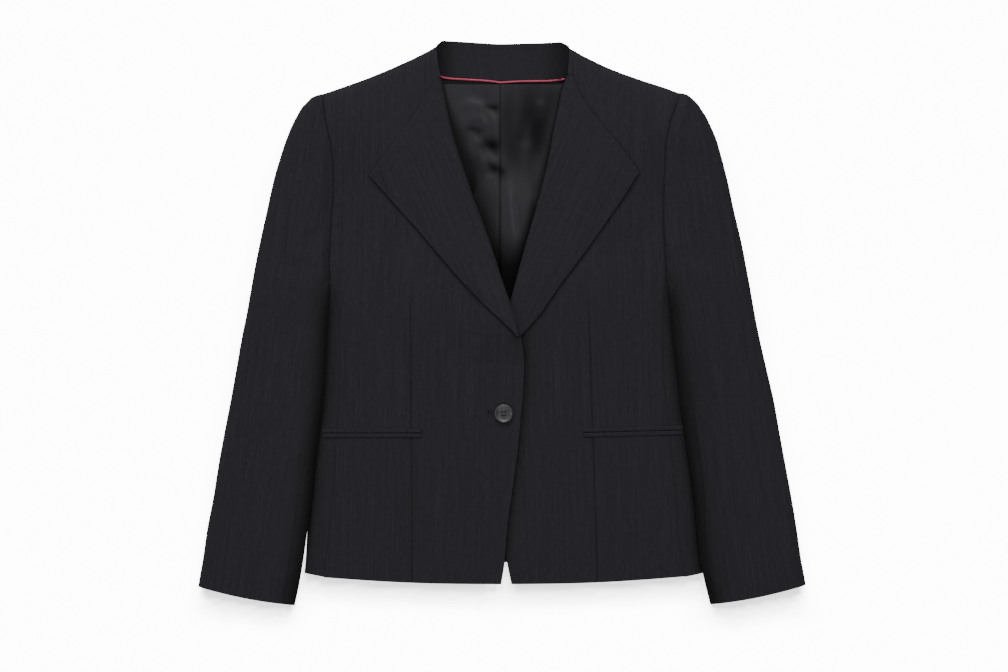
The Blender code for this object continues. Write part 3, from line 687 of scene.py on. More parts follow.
ARMHOLES = {-1: edge_line(RIGHT_FRONT, 3, 2), 1: edge_line(LEFT_FRONT, 3, 2)}
SLEEVE_FOLDS = {
    -1: edge_line(RIGHT_SLEEVE[ARMHOLE_ROWS:], 3, 2),
    1: edge_line(LEFT_SLEEVE[ARMHOLE_ROWS:], 3, 2),
}
ROLLS = {-1: edge_line(RIGHT_LAPEL, 3, 2), 1: edge_line(LEFT_LAPEL, 3, 2)}
LAPEL_TIP_ROW = 5
LAPEL_EDGES = {
    -1: edge_line(RIGHT_LAPEL[LAPEL_TIP_ROW:], 1, 0),
    1: edge_line(LEFT_LAPEL[LAPEL_TIP_ROW:], 1, 0),
}
OVERLAP_FIRST_ROW = 13
OVERLAP = edge_line(RIGHT_FRONT[OVERLAP_FIRST_ROW:], 1, 0)
ARMPIT_Y = 40.0


def line_shade(distance, reach, depth):
    """A number below one close to a line, which is one away from it."""
    return 1 - depth * bell(distance, reach)


def cast_shade(distance, reach, depth):
    """Painted cast shadow: below one beside an edge that lies above, full under it, fading outwards."""
    return 1 - depth * math.exp(-max(0.0, distance) / reach)


def body_shade(x, y, side):
    """Painted shade of a front or side panel: its seams, the sleeve beside it and the front over it."""
    found = line_shade(x - dart_x(side, y), 0.9, 0.45 * dart_depth(side, y))
    seam_depth = blend(0.2, 0.5, smooth((y - ARMPIT_Y) / 20))
    found *= line_shade(x - edge_x(ARMHOLES[side], y), 0.9, seam_depth)
    beside_sleeve = abs(edge_x(SLEEVE_FOLDS[side], y)) - abs(x)
    found *= cast_shade(beside_sleeve, 7.0, 0.9 * smooth((66 - y) / 45))
    below_lapel = side * (x - edge_x(LAPEL_EDGES[side], y))
    lapel_depth = 0.4 * smooth((172 - y) / 20) * smooth((y + 34) / 26)
    found *= cast_shade(below_lapel, blend(1.6, 4.2, smooth((60 - y) / 70)), lapel_depth)
    if side > 0:
        past_overlap = x - edge_x(OVERLAP, y)
        reach = blend(6.4, 4.6, smooth(-y / 160))
        found *= cast_shade(past_overlap, reach, 0.85 * smooth((12 - y) / 16))
    return found


def sleeve_shade(x, y, side):
    """Painted shade of a sleeve: deep along the inner fold, thin along the armhole."""
    away = max(0.0, abs(x) - abs(edge_x(SLEEVE_FOLDS[side], y)))
    deep = smooth((74 - y) / 60)
    found = line_shade(away, 15.0, 0.84 * deep) * cast_shade(away, 3.0, 0.85 * deep)
    if y > ARMPIT_Y - 2:
        found *= line_shade(x - edge_x(ARMHOLES[side], y), 1.0, 0.5)
    return found


def shade_of(find, side):
    """The painted shade of one side, ready for `make_wall`."""
    return lambda x, y: find(x, y, side)


print("sleeve fold at the elbow:", round(edge_x(SLEEVE_FOLDS[-1], -100.0), 1), "mm")

# %% [markdown]
# ## Making a wall of cloth
#
# Every cut piece is a closed wall: an outer face, an inner face and a rim between them. `make_wall`
# takes the two grids of points and a grid of cloth coordinates in metres, measured across and along
# the grain, which the weave reads later. Edges sharper than fifty degrees stay crisp.

# %% The wall of cloth
def lay_out(name, data):
    """Put a mesh, lamp or camera into the scene as an object."""
    made = bpy.data.objects.new(name, data)
    bpy.context.scene.collection.objects.link(made)
    return made


def to_mesh(name, solid):
    """Turn the working form of a solid into a mesh."""
    mesh = bpy.data.meshes.new(name)
    solid.to_mesh(mesh)
    solid.free()
    return mesh


def skin_rings(name, rings, solid):
    """Join rings of points into one closed round form."""
    for ring, following in zip(rings, rings[1:]):
        for k in range(len(ring)):
            after = (k + 1) % len(ring)
            solid.faces.new((ring[k], ring[after], following[after], following[k]))
    solid.faces.new(rings[0])
    solid.faces.new(rings[-1])
    bmesh.ops.recalc_face_normals(solid, faces=solid.faces[:])
    return to_mesh(name, solid)


def finish_mesh(name, mesh, material, sharp=50.0):
    piece = lay_out(name, mesh)
    mesh.materials.append(material)
    mesh.polygons.foreach_set("use_smooth", [True] * len(mesh.polygons))
    mesh.set_sharp_from_angle(angle=math.radians(sharp))
    mesh.update()
    return piece


OUTLINE_TOP = [
    # x_mm, y_mm of the photo's outline, lift_mm up to it
    (-240, 246, 0.8),
    (-208, 268, 1.8),
    (-138, 294, 2.5),
    (-96, 313, 2.4),
    (-81, 323, 3.2),
    (-71, 329, 2.2),
    (-60, 330, 1.6),
    (-25, 327, 1.0),
    (30, 327, 1.5),
    (64, 328, 1.0),
    (78, 322, 1.6),
    (95, 311, 0.4),
    (125, 298, 0.2),
    (153, 287, 1.5),
    (200, 271, 1.3),
    (212, 266, 2.4),
    (240, 246, 1.6),
]
TOP_LINE = [(x, y) for x, y, lift in OUTLINE_TOP]
TOP_LIFT = [(x, lift) for x, y, lift in OUTLINE_TOP]
TOP_FADE = 28.0
HEM_OUT = 1.0


def set_out(point):
    """A point of a wall, drawn out a little to the photo's outline at the shoulders and the hems."""
    x, y, z = point
    y += edge_x(TOP_LIFT, x) * smooth(1 - (edge_x(TOP_LINE, x) - y) / TOP_FADE)
    y -= HEM_OUT * smooth((-250 - y) / 40)
    return (x * MM, y * MM, z * MM)


def make_wall(name, outer, inner, cloth, material, shade=None):
    """One closed wall from two grids of points in millimetres; `shade` gives the painted shade at x and
    y.
    """
    rows, columns = len(outer), len(outer[0])
    points = [set_out(point) for grid in (outer, inner) for row in grid for point in row]
    count = rows * columns
    faces = []
    for i in range(rows - 1):
        for j in range(columns - 1):
            a = i * columns + j
            b, c, d = a + 1, a + columns + 1, a + columns
            faces.append((a, d, c, b))
            faces.append((a + count, b + count, c + count, d + count))
    for i in range(rows - 1):
        for j in (0, columns - 1):
            a, d = i * columns + j, (i + 1) * columns + j
            rim = (a, a + count, d + count, d)
            faces.append(rim if j == 0 else rim[::-1])
    for j in range(columns - 1):
        for i in (0, rows - 1):
            a, b = i * columns + j, i * columns + j + 1
            rim = (a, b, b + count, a + count)
            faces.append(rim if i == 0 else rim[::-1])
    mesh = bpy.data.meshes.new(name)
    mesh.from_pydata(points, [], faces)
    solid = bmesh.new()
    solid.from_mesh(mesh)
    bmesh.ops.recalc_face_normals(solid, faces=solid.faces[:])
    solid.to_mesh(mesh)
    solid.free()
    layer = mesh.uv_layers.new(name="cloth")
    flat = [uv for row in cloth for uv in row]
    corners = [0] * len(mesh.loops)
    mesh.loops.foreach_get("vertex_index", corners)
    values = []
    for corner in corners:
        values.extend(flat[corner % count])
    layer.data.foreach_set("uv", values)
    # painted shade at each point, the same on both faces of the wall
    shades = [shade(point[0], point[1]) if shade else 1.0 for row in outer for point in row]
    mesh.attributes.new("shade", "FLOAT", "POINT").data.foreach_set("value", shades + shades)
    return finish_mesh(name, mesh, material)


def cloth_grid(points, turn=0.0, shift=(0.0, 0.0)):
    """Cloth coordinates from the points' own places, with the grain turned by some degrees."""
    angle = math.radians(turn)
    cosine, sine = math.cos(angle), math.sin(angle)
    grid = []
    for row in points:
        line = []
        for point in row:
            x, y = point[0], point[1]
            across = (x * cosine + y * sine + shift[0]) * MM
            along = (-x * sine + y * cosine + shift[1]) * MM
            line.append((across, along))
        grid.append(line)
    return grid


def surface_area(piece):
    """Area of one face of the cloth, in square metres: half of the closed wall's surface."""
    return sum(polygon.area for polygon in piece.data.polygons) / 2


print("wall maker ready")

# %% [markdown]
# ## Materials: the wool
#
# The suiting is a near-black worsted. Its warp threads differ a little in shade, which shows as fine
# streaks along the grain, and a flat twill keeps it matt. The colour comes from long thin noise in
# the cloth coordinates, the relief from a twill wave of half a millimetre, and a low sheen gives the
# greyish bloom that wool has where the light grazes it.

# %% Wool suiting
def node(tree, kind, x, y, **values):
    made = tree.nodes.new(kind)
    made.location = (x, y)
    for key, value in values.items():
        setattr(made, key, value)
    return made


def new_material(name):
    material = bpy.data.materials.new(name)
    material.use_nodes = True
    tree = material.node_tree
    shader = tree.nodes["Principled BSDF"]
    return material, tree, shader


def set_inputs(made, values):
    """Set a node's inputs by their names."""
    for name, value in values.items():
        made.inputs[name].default_value = value


def cloth_coordinates(tree, scale_across, scale_along, y):
    """The piece's cloth coordinates, stretched by so many repeats in a metre."""
    place = node(tree, "ShaderNodeUVMap", -1300, y, uv_map="cloth")
    stretch = node(tree, "ShaderNodeMapping", -1100, y)
    set_inputs(stretch, {"Scale": (scale_across, scale_along, 1.0)})
    tree.links.new(place.outputs["UV"], stretch.inputs["Vector"])
    return stretch.outputs["Vector"]


def streak(tree, scale_across, scale_along, detail, y):
    """Noise in the cloth coordinates, drawn out along the grain."""
    made = node(tree, "ShaderNodeTexNoise", -850, y)
    set_inputs(made, {"Scale": 1.0, "Detail": detail, "Roughness": 0.6})
    tree.links.new(cloth_coordinates(tree, scale_across, scale_along, y), made.inputs["Vector"])
    return made.outputs["Fac"]


def mixed(tree, first, second, share, y):
    """Two values mixed by a fixed share of the second."""
    mix = node(tree, "ShaderNodeMix", -600, y, data_type="FLOAT")
    mix.inputs[0].default_value = share
    tree.links.new(first, mix.inputs[2])
    tree.links.new(second, mix.inputs[3])
    return mix.outputs[0]


def tinted(tree, value, stops, dark, light):
    """A colour between dark and light, as the value goes from one stop to the other."""
    ramp = node(tree, "ShaderNodeValToRGB", -450, 300)
    for element, stop, colour in zip(ramp.color_ramp.elements, stops, (dark, light)):
        element.position = stop
        element.color = (*colour, 1.0)
    tree.links.new(value, ramp.inputs["Fac"])
    return ramp.outputs["Color"]


def roughened(tree, shader, height, strength, distance_mm):
    """Give the shader a fine relief."""
    bump = node(tree, "ShaderNodeBump", -250, -300)
    set_inputs(bump, {"Strength": strength, "Distance": distance_mm * MM})
    tree.links.new(height, bump.inputs["Height"])
    tree.links.new(bump.outputs["Normal"], shader.inputs["Normal"])


def shaded(tree, colour, shader):
    """Send a colour to the shader, darkened by the painted shade that each point carries."""
    carried = node(tree, "ShaderNodeAttribute", -350, 600, attribute_name="shade")
    product = node(tree, "ShaderNodeMix", -150, 450, data_type="RGBA", blend_type="MULTIPLY")
    product.inputs[0].default_value = 1.0
    tree.links.new(colour, product.inputs[6])
    tree.links.new(carried.outputs["Fac"], product.inputs[7])
    tree.links.new(product.outputs[2], shader.inputs["Base Color"])


FULL_TURN = 6.2832
DIAGONAL_BANDS = {"wave_type": "BANDS", "bands_direction": "DIAGONAL"}


def weave_height(tree, pitch, y):
    """A twill: two fine waves across each other, in repeats of `pitch` millimetres."""
    repeats = 1000.0 / pitch / FULL_TURN
    heights = []
    for across, along in ((1.0, 0.5), (0.35, 1.0)):
        wave = node(tree, "ShaderNodeTexWave", -850, y, **DIAGONAL_BANDS)
        set_inputs(wave, {"Scale": 1.0, "Distortion": 0.6, "Detail": 1.0})
        place = cloth_coordinates(tree, repeats * across, repeats * along, y)
        tree.links.new(place, wave.inputs["Vector"])
        heights.append(wave.outputs["Fac"])
    return mixed(tree, heights[0], heights[1], 0.45, y)


TWILL_PITCH = 0.55
WOOL_SHEEN = 0.04


def wool_material(name, dark, light):
    """Worsted suiting: streaks along the warp, twill relief and a soft bloom."""
    material, tree, shader = new_material(name)
    thin = streak(tree, 1500.0, 22.0, 3.0, 500)
    broad = streak(tree, 330.0, 7.0, 3.0, 200)
    cloud = streak(tree, 420.0, 130.0, 3.0, -100)
    shade = mixed(tree, mixed(tree, thin, broad, 0.42, 400), cloud, 0.3, 200)
    shaded(tree, tinted(tree, shade, (0.36, 0.64), dark, light), shader)
    twill = weave_height(tree, TWILL_PITCH, -500)
    roughened(tree, shader, mixed(tree, twill, thin, 0.4, -450), 0.35, 0.25)
    set_inputs(shader, {"Roughness": 0.82, "Specular IOR Level": 0.15})
    set_inputs(shader, {"Sheen Weight": WOOL_SHEEN, "Sheen Roughness": 0.45})
    set_inputs(shader, {"Sheen Tint": (0.85, 0.88, 1.0, 1.0)})
    return material


WOOL = wool_material("wool suiting", (0.0080, 0.0076, 0.0099), (0.0166, 0.0158, 0.0202))
FACING_WOOL = wool_material("wool facing", (0.0084, 0.0080, 0.0104), (0.0150, 0.0143, 0.0184))
print("wool:", WOOL.name, "and", FACING_WOOL.name)

# %% [markdown]
# ## Materials: lining, piping, thread and button
#
# The lining is a black satin: long floats make it glossy, more so across the warp. Part of its sheen
# is painted: its colour is lighter than the satin's own black. The piping is a crimson ribbed silk.
# The button is dark horn-like resin, slightly clouded and half matt. Buttonhole and sewing thread are
# polyester, a shade lighter than the cloth.

# %% Satin, silk, thread and resin
def satin_material(name, dark, light):
    """Satin: fine floats along the warp and a gloss that is stronger one way."""
    material, tree, shader = new_material(name)
    floats = streak(tree, 1800.0, 40.0, 2.0, 300)
    shaded(tree, tinted(tree, floats, (0.3, 0.7), dark, light), shader)
    roughened(tree, shader, floats, 0.12, 0.1)
    set_inputs(shader, {"Roughness": 0.38, "Specular IOR Level": 0.09, "Anisotropic": 0.5})
    return material


def in_object(tree, kind, values, y, **settings):
    """A texture that is read in the piece's own coordinates."""
    place = node(tree, "ShaderNodeTexCoord", -1100, y)
    made = node(tree, kind, -800, y, **settings)
    set_inputs(made, values)
    tree.links.new(place.outputs["Object"], made.inputs["Vector"])
    return made.outputs["Fac"]


def thread_material(name, dark, light, rib, roughness, gloss):
    """Ribbed silk or thread: fine ridges across the length, in repeats of `rib` millimetres."""
    material, tree, shader = new_material(name)
    cloud = in_object(tree, "ShaderNodeTexNoise", {"Scale": 900.0}, 200)
    colour = tinted(tree, cloud, (0.3, 0.7), dark, light)
    tree.links.new(colour, shader.inputs["Base Color"])
    rib_values = {"Scale": 1000.0 / rib / FULL_TURN, "Distortion": 0.8}
    ridges = in_object(tree, "ShaderNodeTexWave", rib_values, -200, **DIAGONAL_BANDS)
    roughened(tree, shader, ridges, 0.5, 0.2)
    set_inputs(shader, {"Roughness": roughness, "Specular IOR Level": gloss})
    return material


def resin_material(name, dark, light):
    """Clouded resin with fine scratches, half matt."""
    material, tree, shader = new_material(name)
    cloud = in_object(tree, "ShaderNodeTexNoise", {"Scale": 260.0, "Detail": 4.0}, 200)
    colour = tinted(tree, cloud, (0.35, 0.68), dark, light)
    tree.links.new(colour, shader.inputs["Base Color"])
    scratches = in_object(tree, "ShaderNodeTexNoise", {"Scale": 2400.0}, -200)
    roughened(tree, shader, scratches, 0.15, 0.1)
    set_inputs(shader, {"Roughness": 0.42})
    return material


# The satin's colours are lighter than its own black: part of its sheen is painted into them.
SATIN = satin_material("black satin with painted sheen", (0.0182, 0.0176, 0.0208), (0.0246, 0.0238, 0.0275))
CRIMSON = ((0.19, 0.008, 0.030), (0.40, 0.034, 0.088))
CHARCOAL = ((0.010, 0.010, 0.012), (0.020, 0.020, 0.023))
# Black for the gimp cord: painted shadow beside the buttonhole's lips.
LIP_SHADOW_BLACK = ((0.0015, 0.0015, 0.0018), (0.0040, 0.0040, 0.0046))
SILK = thread_material("crimson ribbed silk", *CRIMSON, rib=0.5, roughness=0.5, gloss=0.5)
THREAD = thread_material("buttonhole thread", *CHARCOAL, rib=0.25, roughness=0.6, gloss=0.12)
GIMP_SHADOW_CORD = thread_material("black gimp cord painting lip shadow", *LIP_SHADOW_BLACK, rib=0.25, roughness=0.8, gloss=0.03)
RESIN = resin_material("dark resin", (0.016, 0.016, 0.0188), (0.035, 0.035, 0.0385))
print("finishes:", SATIN.name, SILK.name, THREAD.name, RESIN.name)

# %% [markdown]
# ## The fronts
#
# Each front runs from the shoulder seam to the hem. Its inner edge hides inside the lapel's roll and,
# below the lapel, is the folded front edge. A dart seam runs from under the bust down to the hem, so
# the columns of the grid close up beside it and the surface dips there.

# %% Fronts
FRONT_TUCK = 5.6
FAR_FROM_HEM = 99.0
HEM_ROW_LENGTH = 17.0


def lapel_ends(side):
    lapel = RIGHT_LAPEL if side < 0 else LEFT_LAPEL
    return lapel[0][3] + 2.5, lapel[-1][3] - 1


def tucked(side, y):
    """How far the front's edge is drawn back inside the roll of the lapel."""
    top_y, low_y = lapel_ends(side)
    if y >= top_y or y <= low_y:
        return 0.0
    return FRONT_TUCK * smooth((top_y - y) / 4)


def front_line(row, side, inset, turn, hem_distance):
    """One section of a front; `turn` is the angle of the shoulder's rounding."""
    inner_x, inner_y, outer_x, outer_y, bow = row[:5]
    lifted = tucked(side, inner_y)
    inner_x += side * lifted
    width = abs(outer_x - inner_x)
    split = abs(dart_x(side, (inner_y + outer_y) / 2) - inner_x)
    first = ladder(split, 20)
    second = [split + step for step in ladder(width - split, 18)[1:]]
    points = []
    for step in first + second:
        share = step / width
        x = inner_x + side * step
        y = blend(inner_y, outer_y, share) + bow * math.sin(math.pi * share)
        top = front_top(x, y, side)
        levelling = smooth(min(width - step, 30.0) / 22.0)
        top += front_relief(x, y) * blend(0.25, 1.0, levelling) * smooth(hem_distance / 30.0)
        sink = seam_drop(width - step) * blend(0.3, 1.0, smooth((y - 40) / 20))
        sink += 0.7 * seam_drop(step - split) * dart_depth(side, y)
        if turn < 90:
            angle = math.radians(turn)
            middle = top / 2 + SEAM_GAP
            z = middle + (top - middle - inset) * math.sin(angle) - sink * math.sin(angle)
            points.append((x, y - inset * math.cos(angle), z))
            continue
        rounding = edge_drop(hem_distance, BODY_CLOTH)
        if lifted == 0.0:
            rounding = max(rounding, edge_drop(step, BODY_CLOTH))
        z = top - inset - sink
        z += rounding if inset else -rounding
        points.append((x, y, z))
    return points


def front_points(table, side, inset):
    grid = []
    for turn in range(0, 90, 10):
        share = (1 - math.cos(math.radians(turn))) * SHOULDER_TURN / 14.0
        row = [blend(a, b, share) for a, b in zip(table[0], table[1])]
        grid.append(front_line(row, side, inset, turn, FAR_FROM_HEM))
    last = len(table) - 1
    for place in places_along(1.0, float(last), 7, close_last=0.2):
        row = between_rows(table, [place])[0]
        grid.append(front_line(row, side, inset, 90, (last - place) * HEM_ROW_LENGTH))
    return grid


def make_front(name, table, side):
    outer = front_points(table, side, 0.0)
    inner = front_points(table, side, BODY_CLOTH)
    grain = cloth_grid(outer, turn=side * 1.2)
    return make_wall(name, outer, inner, grain, WOOL, shade_of(body_shade, side))


pieces = {}
pieces["front_right"] = make_front("right_front_cloth", RIGHT_FRONT, -1)
pieces["front_left"] = make_front("left_front_cloth", LEFT_FRONT, 1)
print("one front:", round(surface_area(pieces["front_right"]), 4), "square metres")

# %% [markdown]
# ## The side panels
#
# A side panel replaces a side seam. It starts at the seam on the front, turns round the side of the
# body and ends at the back seam, flat on the table. The sleeve hides most of it. Its upper end goes
# on up under the sleeve in a narrow wedge, so that no gap opens at the armpit.

# %% Side panels
CORNER_RISE = 4.5
WEDGE_SINK = 2.4
PANEL_GAP = 0.06


def side_line(row, side, inset, hem_distance, sink):
    """One section of a side panel, sunk by `sink` where it goes on under the sleeve."""
    y = row[0]
    seam_x, fold_x = (row[1], row[2]) if side < 0 else (row[3], row[4])
    armhole = abs(edge_x(ARMHOLES[side], y)) if y > PANEL_TOP else 0.0
    seam = max(abs(seam_x), armhole) + PANEL_GAP
    edge = abs(fold_x)
    under_sleeve = abs(edge_x(SLEEVE_FOLDS[side], y))
    corner_rise = CORNER_RISE * smooth((-240 - y) / 55)
    height = body_height(edge, y) - sink
    middle = height / 2
    rounding = edge_drop(hem_distance, BODY_CLOTH)
    rounding = rounding if inset else -rounding
    points = []
    start = edge - SIDE_TURN
    for step in ladder(start - seam, 6):
        x = seam + step
        top = front_top(side * x, min(y, PANEL_TOP - 0.1), side)
        z = top - inset - 0.3 * seam_drop(step) + rounding
        z -= sink * smooth((x - under_sleeve + 2) / 2.5)
        z += front_relief(side * x, y) * 0.25 * smooth(hem_distance / 30.0)
        points.append((side * x, y + corner_rise * step / (edge - seam), z))
    for turn in range(80, -1, -10):
        angle = math.radians(turn)
        x = start + (SIDE_TURN - inset) * math.cos(angle)
        z = middle + (height - middle - inset + rounding) * math.sin(angle)
        points.append((side * x, y + corner_rise * (x - seam) / (edge - seam), z))
    for turn in range(-15, -91, -15):
        angle = math.radians(turn)
        x = edge - SIDE_TURN_BELOW + (SIDE_TURN_BELOW - inset) * math.cos(angle)
        z = middle + (middle - inset) * math.sin(angle)
        points.append((side * x, y + corner_rise * (x - seam) / (edge - seam), z))
    end = edge - BACK_SEAM_INSET + SEAM_GAP
    for share in (0.3, 0.6, 0.9, 1.0):
        under_y = y + corner_rise * 0.6 * (1 - share)
        points.append((side * blend(edge - SIDE_TURN_BELOW, end, share), under_y, inset))
    return points


def side_points(side, inset):
    last = len(SIDE_PANELS) - 1
    grid = []
    first = SIDE_PANELS[0]
    for above in (26.0, 22.0, 18.0, 14.0, 11.0, 8.0, 5.0, 3.0, 1.6):
        sink = WEDGE_SINK * smooth(above / 3.0)
        row = (first[0] + above,) + first[1:]
        grid.append(side_line(row, side, inset, FAR_FROM_HEM, sink))
    for place in places_along(0.0, float(last), 7, close_last=0.2):
        row = between_rows(SIDE_PANELS, [place])[0]
        grid.append(side_line(row, side, inset, (last - place) * HEM_ROW_LENGTH, 0.0))
    return grid


for word, side in (("right", -1), ("left", 1)):
    outer = side_points(side, 0.0)
    inner = side_points(side, BODY_CLOTH)
    name = "side_panel_" + word
    grain = cloth_grid(outer)
    shade = shade_of(body_shade, side)
    pieces[name] = make_wall(word + "_side_cloth", outer, inner, grain, WOOL, shade)
print("one side panel:", round(surface_area(pieces["side_panel_left"]), 4), "square metres")

# %% [markdown]
# ## The back
#
# The back is one broad panel that carries the whole jacket, so its underside is flat. It turns up at
# the shoulders to meet the fronts, and a little at the neck. The creases on it are kept above the
# table: they thin the cloth from inside and don't push through the resting face. The hem is drawn up
# behind the opening of the fronts, where the table shows through.

# %% Back
NOTCH_X = 5.0
NOTCH_REACH = 14.0
NOTCH_RISE = 17.0


def back_points(inset):
    first, last_row = BACK_TOP[0], BACK_TOP[-1]
    places = places_along(0.0, float(len(BACK_TOP) - 1), 4)
    top = between_rows(BACK_TOP, places, straight=(0, 1, 2, 3))
    shares = [(row[0] - first[0]) / (last_row[0] - first[0]) for row in top]
    shape = [row[1] - blend(first[1], last_row[1], share) for row, share in zip(top, shares)]
    grid = []
    for turn in range(0, 91, 10):
        angle = math.radians(turn)
        points = []
        for x, y, rise, reach in top:
            along = reach - (reach - inset) * math.cos(angle)
            points.append((x, y - along, rise - (rise - inset) * math.sin(angle)))
        grid.append(points)
    sides = list(BACK_SIDES)
    for row in SIDE_PANELS:
        sides.append((row[2] + BACK_SEAM_INSET, row[4] - BACK_SEAM_INSET, row[0], 0.0))
    places = places_along(0.0, float(len(sides) - 1), 4)
    lines = between_rows(sides, places, straight=(0, 1, 2, 3))
    for right_x, left_x, y, left_over in lines:
        points = []
        for share, height in zip(shares, shape):
            x = blend(right_x, left_x, share)
            z = inset
            if inset:
                z += 0.3 * crease_height(x, y, BACK_CREASES) - 0.15
            notch = NOTCH_RISE * bell(x - NOTCH_X, NOTCH_REACH) * smooth((-236 - y) / 58)
            points.append((x, y + height * left_over + notch, z))
        grid.append(points)
    return grid


outer = back_points(0.0)
pieces["back"] = make_wall("back_cloth", outer, back_points(BACK_CLOTH), cloth_grid(outer), WOOL)
print("back:", round(surface_area(pieces["back"]), 4), "square metres")

# %% [markdown]
# ## The lapels
#
# There is no separate collar: each lapel folds back from a high neck along its roll line. The cloth
# lies over the front, swells a little, rolls round the front's hidden edge and tucks under it. The
# grain turns with the fold, so the streaks on a lapel run at an angle to those of the front.

# %% Lapels
LAPEL_FACE = 26
LAPEL_ROW_LENGTH = 24.0
ROLL_TURNS = range(80, -91, -10)


def lapel_line(row, side, inset, near_end):
    outer_x, outer_y, roll_x, roll_y, tuck = row
    rise = LAYER_GAP + LAPEL_CLOTH
    drop = BODY_CLOTH + LAYER_GAP + LAPEL_CLOTH
    radius = (rise + drop) / 2
    centre_x = roll_x + side * radius
    centre_z = front_top(centre_x, roll_y, side) + rise - radius
    length = math.hypot(outer_x - centre_x, outer_y - roll_y)
    points = []
    for step in ladder(length, LAPEL_FACE):
        share = step / length
        x = blend(outer_x, centre_x, share)
        y = blend(outer_y, roll_y, share)
        swell = math.sin(math.pi * min(1.0, share * 1.2)) * (abs(outer_x - roll_x) / 110)
        lift = rise + swell + 0.35 * unevenness(x, y, 9.5 + side) * swell
        rounding = max(edge_drop(step * 0.75, LAPEL_CLOTH), edge_drop(near_end, LAPEL_CLOTH))
        z = front_top(x, y, side) + lift - inset
        points.append((x, y, z + (rounding if inset else -rounding)))
    for turn in ROLL_TURNS:
        angle = math.radians(turn)
        reach = radius - inset
        x = centre_x - side * reach * math.cos(angle)
        points.append((x, roll_y, centre_z + reach * math.sin(angle)))
    for share in (0.5, 1.0):
        x = centre_x + side * tuck * share
        points.append((x, roll_y, front_top(x, roll_y, side) - drop + inset))
    return points


def lapel_points(table, side, inset):
    grid = []
    last = float(len(table) - 1)
    near = [0.0, 0.01, 0.03, 0.06, 0.11]
    places = near + [place for place in places_along(0.0, last, 6) if place > 0.12]
    for place in places:
        row = between_rows(table, [place], straight=(0, 1, 4))[0]
        grid.append(lapel_line(row, side, inset, place * LAPEL_ROW_LENGTH))
    return grid


for word, side, table in (("right", -1, RIGHT_LAPEL), ("left", 1, LEFT_LAPEL)):
    outer = lapel_points(table, side, 0.0)
    inner = lapel_points(table, side, LAPEL_CLOTH)
    grain = cloth_grid(outer, turn=side * -24.0, shift=(13.0 * side, 40.0))
    pieces["lapel_" + word] = make_wall(word + "_lapel_cloth", outer, inner, grain, WOOL)
print("one lapel:", round(surface_area(pieces["lapel_right"]), 4), "square metres")

# %% [markdown]
# ## Inside the neck
#
# The facing is a shaped band that follows the neck and turns up at both ends. The piping, a thin cord
# covered in silk, is caught in the seam below it. The lining is cut in two halves with a seam at the
# centre back, and its satin lies in soft wrinkles that catch the light.

# %% Neck facing
FACING_WIDTH = 38.0
NECK_ROW_IN = 4.6
TOP_OUT = 1.6
END_UNDER = 5.5
LOWER_UNDER = 3.0


def facing_place(column, share):
    """A point of the facing; both ends go on a little under the fronts."""
    top_x, top_y, lower_x, lower_y, rise = column
    under = smooth((abs(lower_x) - 60) / 9)
    x = blend(top_x, lower_x + math.copysign(END_UNDER, lower_x) * under, share)
    y = blend(top_y + TOP_OUT, lower_y - LOWER_UNDER * under, share)
    height = 3.7 + max(0.0, rise) * blend(1.0, 0.5, share) + 1.3 * (1 - share) ** 2
    return x, y, height + 0.3 * unevenness(x, y, 12.5)


def facing_shade(x, y):
    """Painted shade of the lapels over both ends, whatever the height y."""
    return line_shade(x + 71.0, 13.0, 0.6) * line_shade(76.0 - x, 21.0, 0.65)


def facing_points(inset):
    last = float(len(FACING) - 1)
    columns = between_rows(FACING, places_along(0.0, last, 5))
    grid = []
    for step in ladder(FACING_WIDTH, 9):
        points = []
        for column in columns:
            x, y, z = facing_place(column, step / FACING_WIDTH)
            z -= 0.3 * bell(step - NECK_ROW_IN, 0.8)
            rounding = edge_drop(step, BACK_CLOTH)
            points.append((x, y, z - inset + (rounding if inset else -rounding)))
        grid.append(points)
    return grid


outer = facing_points(0.0)
inner = facing_points(BACK_CLOTH)
pieces["neck_facing"] = make_wall(
    "neck_facing_cloth", outer, inner, cloth_grid(outer), FACING_WOOL, facing_shade
)
print("facing:", round(surface_area(pieces["neck_facing"]), 4), "square metres")

# %% [markdown]
# The lining's wrinkles are a table like the creases, only taller and narrower. Satin shows height by
# its highlights, so a ridge of one millimetre already reads as a bright fold beside a dark one.

# %% Lining
LINING_WRINKLES = [
    # x1_mm, y1_mm, x2_mm, y2_mm, half_width, height_mm
    (-22, 270, -6, 240, 6, -0.9),
    (-36, 238, -26, 214, 5, -0.9),
    (-22, 226, -6, 190, 6, -1.2),
    (-20, 190, -10, 172, 5, -0.8),
    (-46, 262, -20, 250, 6, 0.8),
    (-30, 246, -14, 228, 4, 0.8),
    (-28, 206, -20, 176, 5, 0.9),
    (-14, 262, -8, 200, 4, 0.7),
    (10, 172, 14, 84, 4, 0.9),
    (16, 150, 20, 100, 4, -0.7),
    (48, 262, 40, 232, 7, 0.8),
    (30, 250, 22, 206, 7, -0.8),
    (-6, 130, -8, 80, 3, 0.7),
    (34, 214, 26, 176, 5, 0.6),
]


# Painted highlights and painted shade on the satin, where its reflection would brighten or darken it.
LINING_PAINTED_LIGHT_AND_SHADE = [
    # x1_mm, y1_mm, x2_mm, y2_mm, half_width, lighter (painted highlight; below nought, painted shade)
    (9, 286, 8, 170, 11, -0.6),
    (26, 294, 22, 172, 9, -0.42),
    (41, 292, 33, 176, 9, -0.42),
    (58, 288, 46, 190, 12, -0.62),
    (-23, 256, -2, 253, 3.5, -0.75),
    (-44, 229, -20, 226, 3.5, -0.65),
    (-27, 214, -2, 203, 8.5, -0.9),
    (-20, 187, 6, 173, 6.5, -0.85),
    (-38, 266, -30, 238, 12, 0.2),
    (-43, 216, -30, 194, 5, 0.3),
    (-14, 160, -6, 120, 9, -0.12),
    (10.5, 174, 14, 78, 3.5, 0.35),
    (-5, 138, -6, 60, 2, 0.3),
]


